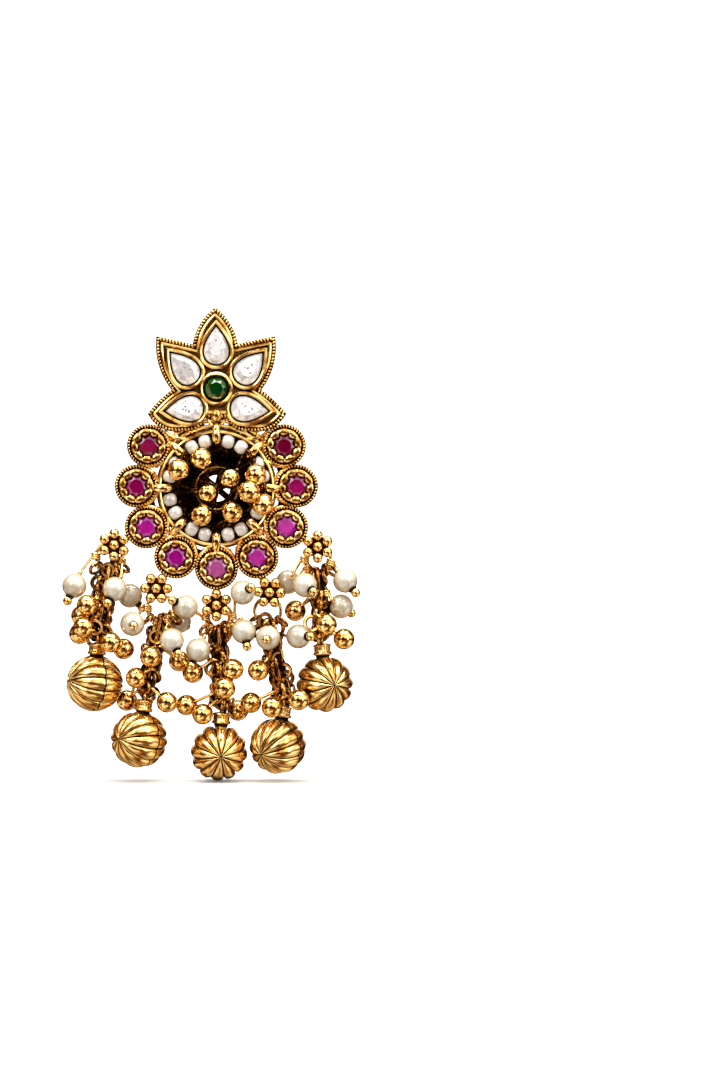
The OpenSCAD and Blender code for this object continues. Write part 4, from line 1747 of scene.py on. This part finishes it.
    def build_pins(self) -> None:
        """Bend the head pins, with their eyes and the balls at their ends, and a ring of painted shade round
        each ball.
        """
        form = Form()
        dark = Form()
        for row in self.pearls:
            hook, tangent = self.station(row)
            out = Vector(row.tip).normalized()
            at = row.mid
            end = self.pearl_d / 2 + 0.4
            bend = at - out * end
            away = off_wire(hook, tangent, bend)
            for turn in (-0.36, 0.0, 0.36):
                form.ring(aimed(hook + tangent * turn, tangent + away * 0.12, away), 0.6, (0.2, 0.2), 18)
            eye = hook + away * 0.6
            form.wire(bent([eye, bend.lerp(eye, 0.4), bend, at], 5), 0.24)
            for turn in range(3):
                coil = aimed(bend + out * (0.12 * turn - 0.1), out, Vector((0.1, 0.3, 1)))
                form.ring(coil, 0.28, (0.1, 0.1), 14, 6)
            form.wire([at, at + out * end], 0.2)
            tip = aimed(at + out * (self.pearl_d / 2 + self.tip_d / 2 + 0.05), out, LEANING)
            form.beads([tip], (self.tip_d, self.tip_d, self.tip_d), 20, 12)
            # A dark ring of painted contact shade where each tip ball meets its pearl
            dark.ring(aimed(at + out * (self.pearl_d / 2 + 0.08), out, LEANING), 0.55, (0.2, 0.07), 20, 6)
        node = f"pearl_pins_{self.number}"
        dark.finish(node + "_shade_rings", DARK, Slot.DARK, [node])
        form.finish(node + "_wire", BALL_GOLD, Slot.GOLD, [node])

    def build_drops(self) -> None:
        """Hang the small gold balls."""
        form = Form()
        ball = GoldBall()
        for row in self.drops:
            hook, tangent = self.station(row)
            ball.add(form, hook, tangent, row.mid)
        node = f"gold_drops_{self.number}"
        form.finish(node + "_balls", BALL_GOLD, Slot.GOLD, [node])

    def build_ribbed(self) -> None:
        """Build the ribbed ball with its collar and loop."""
        form = Form()
        x, z = self.pole
        pole = Vector((x, -math.sqrt(1 - x * x - z * z), z))
        self.ribbed.add_shell(form, aimed(self.ball_mid, pole, self.neck))
        start = self.ball_mid + self.neck * (self.ribbed.diameter / 2)
        self.ribbed.add_collar(form, aimed(start, self.neck, BACK))
        form.ring(aimed(self.loop_mid, RIGHT, UP), self.loop_r, (0.25, 0.25), 28, 10)
        node = f"ribbed_ball_{self.number}"
        form.finish(node + "_shell", RIB_GOLD, Slot.GOLD, [node])

    def build(self) -> None:
        """Build every piece of the dangle."""
        self.build_hoop()
        self.build_chain()
        self.build_jumps()
        self.build_shade_wires()
        self.build_pearls()
        self.build_pins()
        self.build_drops()
        self.build_ribbed()


DANGLES = (
    Dangle(
        1, HOOPS[0], (-19.5, -47.1), 4.0, (-0.90, 0.10),
        (
            Hung(0, -90, 0, -22.7, -1.2, -31.5, (-0.4, -0.3, -0.9)),
            Hung(0, 70, 0, -16.2, -2.6, -32.0, (-0.4, -0.4, -0.8)),
            Hung(1, 1, 0.5, -13.9, 2.6, -33.1, (0.6, -0.1, -0.6)),
        ),
        (
            Hung(2, -1, -0.5, -20.6, -2.4, -34.6),
            Hung(3, 1, 0.5, -21.6, 0.6, -36.3),
            Hung(4, -1, -0.2, -21.2, -2.6, -38.1),
            Hung(4, -1, -0.7, -22.0, 2.7, -39.2),
            Hung(4, 1, -0.5, -16.9, -2.6, -40.5),
            Hung(4, 1, 0.5, -14.9, 1.0, -41.6),
        ),
    ),
    Dangle(
        2, HOOPS[1], (-12.4, -56.1), 8.0, (-0.68, 0.03),
        (
            Hung(0, -90, 0, -13.4, -2.6, -37.6, (0.1, -1.0, -0.1)),
            Hung(0, 30, 0, -7.1, -2.6, -40.2, (0.4, -0.5, -0.8)),
            Hung(0, 60, 0, -6.1, 3.8, -37.2, (0.4, 0.9, -0.3)),
        ),
        (
            Hung(2, -1, -0.3, -10.5, -2.6, -42.8),
            Hung(3, -1, -0.5, -12.8, -1.5, -46.2),
            Hung(4, -1, -0.6, -14.4, 3.0, -49.9),
            Hung(4, 1, -0.5, -7.9, -1.6, -50.1),
            Hung(2, 1, 0.3, -6.0, 2.9, -43.6),
        ),
    ),
    Dangle(
        3, HOOPS[2], (0.4, -58.2), 4.0, (0.08, -0.13),
        (
            Hung(0, -90, 0, -4.9, -1.5, -34.9, (-0.8, -0.5, 0.4)),
            Hung(0, -50, 0, -2.9, -2.0, -41.8, (-0.4, -0.2, -0.9)),
            Hung(0, 95, 0, 4.2, -2.4, -32.6, (0.5, -0.8, 0.3)),
            Hung(0, 60, 0, 4.4, -2.6, -38.8, (0.2, -0.5, -0.9)),
        ),
        (
            Hung(2, 1, -0.5, 2.7, -2.6, -44.8),
            Hung(3, -1, -0.3, 1.3, -3.0, -47.8),
            Hung(4, -1, 0.5, -4.8, 0.6, -50.6),
            Hung(4, -1, -0.5, -2.2, -1.4, -52.0),
            Hung(4, 1, -0.5, 3.4, 2.6, -51.5),
            Hung(2, -1, -0.3, -3.8, 1.0, -45.4),
        ),
    ),
    Dangle(
        4, HOOPS[3], (9.8, -57.1), 8.0, (-0.57, -0.30),
        (
            Hung(1, -1, 0.5, 8.3, -3.8, -39.8, (-0.1, -1.0, -0.1)),
            Hung(1, 1, 0.0, 13.1, -1.4, -39.6, (0.7, -0.7, 0.0)),
        ),
        (
            Hung(2, -1, -0.5, 6.7, -2.0, -45.0),
            Hung(4, -1, 0.0, 5.5, -0.2, -50.2),
            Hung(4, -1, -0.7, 8.9, -3.0, -50.9),
            Hung(4, 1, 0.3, 13.2, -3.6, -49.7),
        ),
    ),
    Dangle(
        5, HOOPS[4], (17.3, -47.2), -4.0, (0.35, -0.04),
        (
            Hung(0, -50, 0, 14.2, -2.6, -31.4, (0.5, -0.8, -0.4)),
            Hung(0, -90, 0, 11.4, 2.4, -30.9, (-0.2, 0.9, -0.3)),
            Hung(0, 78, 0, 20.6, 0.2, -30.7, (0.6, -0.4, -0.7)),
            Hung(2, 1, 0.5, 19.9, 1.2, -34.8, (0.6, 0.7, -0.4)),
        ),
        (
            Hung(3, -1, -0.3, 17.6, -2.8, -37.7),
            Hung(4, 1, -0.5, 20.4, -1.0, -40.0),
            Hung(2, -1, 0.0, 12.6, 2.0, -35.5),
        ),
    ),
)


class Lamp(NamedTuple):
    """A soft panel: name, place, size in millimetres, power in watts, and colour."""

    name: str
    place: Triple
    size: Point2
    power: float
    colour: Colour


@dataclass
class Studio:
    """White table and room, soft panels, what the gold reflects, and the camera."""

    frame_height: float = 172.8
    look_at: Triple = (22.96, 0.0, -24.19)
    distance: float = 1400.0
    floor_z: float = -62.9
    lamps: tuple[Lamp, ...] = (
        Lamp("panel_key", (-230.0, -380.0, 200.0), (200.0, 200.0), 0.5, (1.0, 0.98, 0.95)),
        Lamp("panel_right", (300.0, -300.0, 40.0), (90.0, 260.0), 0.25, WHITE),
        Lamp("panel_top", (0.0, -30.0, 300.0), (420.0, 260.0), 3.4, WHITE),
    )

    def build_camera(self) -> None:
        """Stand the camera straight in front, at the photograph's framing."""
        data = bpy.data.cameras.new("portrait_camera")
        data.sensor_fit = "VERTICAL"
        data.sensor_height = 36.0
        data.lens = 36.0 * self.distance / self.frame_height
        data.clip_start = 0.05
        data.clip_end = 10.0
        camera = bpy.data.objects.new("portrait_camera", data)
        camera.location = (self.look_at[0] * MM, -self.distance * MM, self.look_at[2] * MM)
        camera.rotation_euler = (math.pi / 2, 0.0, 0.0)
        bpy.context.scene.collection.objects.link(camera)
        bpy.context.scene.camera = camera

    def build_lamps(self) -> None:
        """Hang the soft panels."""
        aim = Vector((0.0, 0.0, -0.025))
        for lamp in self.lamps:
            data = bpy.data.lights.new(lamp.name, "AREA")
            data.shape = "RECTANGLE"
            data.size, data.size_y = (s * MM for s in lamp.size)
            data.energy = lamp.power
            data.color = lamp.colour
            panel = bpy.data.objects.new(lamp.name, data)
            panel.location = Vector(lamp.place) * MM
            panel.rotation_euler = (aim - panel.location).to_track_quat("-Z", "Y").to_euler()
            bpy.context.scene.collection.objects.link(panel)

    def build_world(self) -> None:
        """Surround it all with a white room: dark waistline, warm dusk at the sides, light right behind."""
        world = bpy.data.worlds.new("studio_room")
        world.use_nodes = True
        tree = world.node_tree
        background = tree.nodes["Background"]
        coordinates = tree.nodes.new("ShaderNodeTexCoord")
        split = tree.nodes.new("ShaderNodeSeparateXYZ")
        tree.links.new(coordinates.outputs["Generated"], split.inputs["Vector"])
        room = self.room_tone(
            tree,
            split.outputs["Z"],
            (
                (0.0, (0.3, 0.22, 0.14)),
                (0.16, (1.0, 0.98, 0.95)),
                (0.37, (1.0, 0.98, 0.95)),
                (0.42, (0.04, 0.016, 0.004)),
                (0.465, (0.04, 0.016, 0.004)),
                (0.52, (0.4, 0.3, 0.18)),
                (0.64, WHITE),
                (0.86, WHITE),
                (1.0, (0.25, 0.18, 0.12)),
            ),
        )
        falloff = self.room_tone(
            tree,
            split.outputs["Y"],
            (
                (0.0, (0.02, 0.008, 0.002)),
                (0.006, (0.02, 0.008, 0.002)),
                (0.012, WHITE),
                (0.45, WHITE),
                (0.64, (0.5, 0.3, 0.13)),
                (0.8, (0.08, 0.028, 0.006)),
                (0.86, (0.05, 0.018, 0.004)),
                (0.92, (0.6, 0.48, 0.34)),
                (0.95, (1.0, 0.95, 0.88)),
            ),
        )
        patches = tree.nodes.new("ShaderNodeTexNoise")
        patches.inputs["Scale"].default_value = 1.4
        patches.inputs["Detail"].default_value = 0.0
        tree.links.new(coordinates.outputs["Generated"], patches.inputs["Vector"])
        clutter = add_ramp(tree, patches.outputs["Fac"], ((0.4, (0.16, 0.07, 0.02)), (0.5, WHITE)))
        ground = self.room_tone(tree, split.outputs["Z"], ((0.36, (0.6, 0.5, 0.38)), (0.42, BLACK)))
        lit = add_mix(tree, 1.0, falloff, ground, Blend.LIGHTEN)
        toned = add_mix(tree, 1.0, room, lit, Blend.MULTIPLY)
        tree.links.new(add_mix(tree, 1.0, toned, clutter, Blend.MULTIPLY), background.inputs["Color"])
        background.inputs["Strength"].default_value = 1.5
        bpy.context.scene.world = world

    def room_tone(self, tree: Tree, source: Socket, stops: Stops) -> Socket:
        """Colour the room by one part of the direction.

        Args:
            tree: The world's node tree.
            source: The socket that carries the part, from -1 to 1.
            stops: Places, from 0 at -1 to 1 at 1, and colours.

        Returns:
            The socket that carries the colour.
        """
        spread = tree.nodes.new("ShaderNodeMapRange")
        spread.inputs["From Min"].default_value = -1.0
        spread.inputs["From Max"].default_value = 1.0
        tree.links.new(source, spread.inputs["Value"])
        return add_ramp(tree, spread.outputs["Result"], stops)

    def build_set(self) -> None:
        """Stand the white table, which takes the soft shadow, in a white room that only the camera sees."""
        slope = Matrix.Translation((0.0, 0.0, self.floor_z)) @ Matrix.Rotation(math.radians(4.0), 4, "X")
        boards = []
        for name, depth, glow in (("table_top", 0.0, 1.0), ("table_underside", 0.5, 1.05)):
            sheet = bmesh.new()
            spread = Matrix.Translation((0.0, -580.0, -depth)) @ Matrix.Diagonal((1600.0, 1200.0, 1.0, 1.0))
            bmesh.ops.create_grid(sheet, x_segments=1, y_segments=1, size=0.5, matrix=slope @ spread)
            boards.append(self.set_white(name, sheet, glow))
        table, underside = boards
        self.dim_near(table.active_material.node_tree)
        walls = bmesh.new()
        bmesh.ops.create_cube(walls, size=3200.0)
        bmesh.ops.reverse_faces(walls, faces=walls.faces)
        room = self.set_white("white_room", walls, 1.05)
        for piece in (room, underside):
            piece.visible_shadow = False
        for piece in (table, room, underside):
            piece.visible_glossy = False
            piece.visible_diffuse = False
            piece.visible_transmission = False

    def dim_near(self, tree: Tree) -> None:
        """Take the table's own glow away near the earring, where its soft shadow falls.

        Args:
            tree: The node tree of the table's material.
        """
        coordinates = tree.nodes.new("ShaderNodeTexCoord")
        reach = tree.nodes.new("ShaderNodeVectorMath")
        reach.operation = "LENGTH"
        tree.links.new(coordinates.outputs["Object"], reach.inputs[0])
        spread = tree.nodes.new("ShaderNodeMapRange")
        spread.inputs["From Min"].default_value = 0.09
        spread.inputs["From Max"].default_value = 0.2
        spread.inputs["To Min"].default_value = 0.1
        spread.inputs["To Max"].default_value = 1.0
        tree.links.new(reach.outputs["Value"], spread.inputs["Value"])
        tree.links.new(spread.outputs["Result"], tree.nodes[SHADER].inputs["Emission Strength"])

    def set_white(self, name: str, bm: bmesh.types.BMesh, glow: float) -> bpy.types.Object:
        """Set up one white piece of the studio.

        Args:
            name: Its name.
            bm: Its shape, in millimetres.
            glow: How strongly it shines by itself.

        Returns:
            The piece.
        """
        bmesh.ops.scale(bm, vec=(MM, MM, MM), verts=bm.verts)
        mesh = bpy.data.meshes.new(name)
        bm.to_mesh(mesh)
        bm.free()
        material = bpy.data.materials.new(name + "_white")
        material.use_nodes = True
        shader = material.node_tree.nodes[SHADER]
        shader.inputs["Base Color"].default_value = (0.9, 0.9, 0.9, 1.0)
        shader.inputs["Roughness"].default_value = 0.8
        shader.inputs["Emission Color"].default_value = (*WHITE, 1.0)
        shader.inputs["Emission Strength"].default_value = glow
        mesh.materials.append(material)
        piece = bpy.data.objects.new(name, mesh)
        bpy.context.scene.collection.objects.link(piece)
        return piece

    def build(self) -> None:
        """Build the whole studio."""
        self.build_camera()
        self.build_lamps()
        self.build_world()
        self.build_set()
        bpy.context.scene.view_settings.view_transform = "Standard"
        bpy.context.scene.view_settings.look = "None"


def dress_post() -> None:
    """Give the plain CAD post its gold."""
    post = bpy.data.objects["ear_post"]
    post.data.materials.clear()
    post.data.materials.append(GOLD.material())


def main() -> None:
    """Build the earring and its studio."""
    logging.basicConfig(level=logging.INFO, format="%(message)s")
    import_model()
    for part in (Studio(), Flower(), RoundBody(), Cup(), *DANGLES):
        part.build()
    dress_post()


if __name__ == "__main__":
    main()
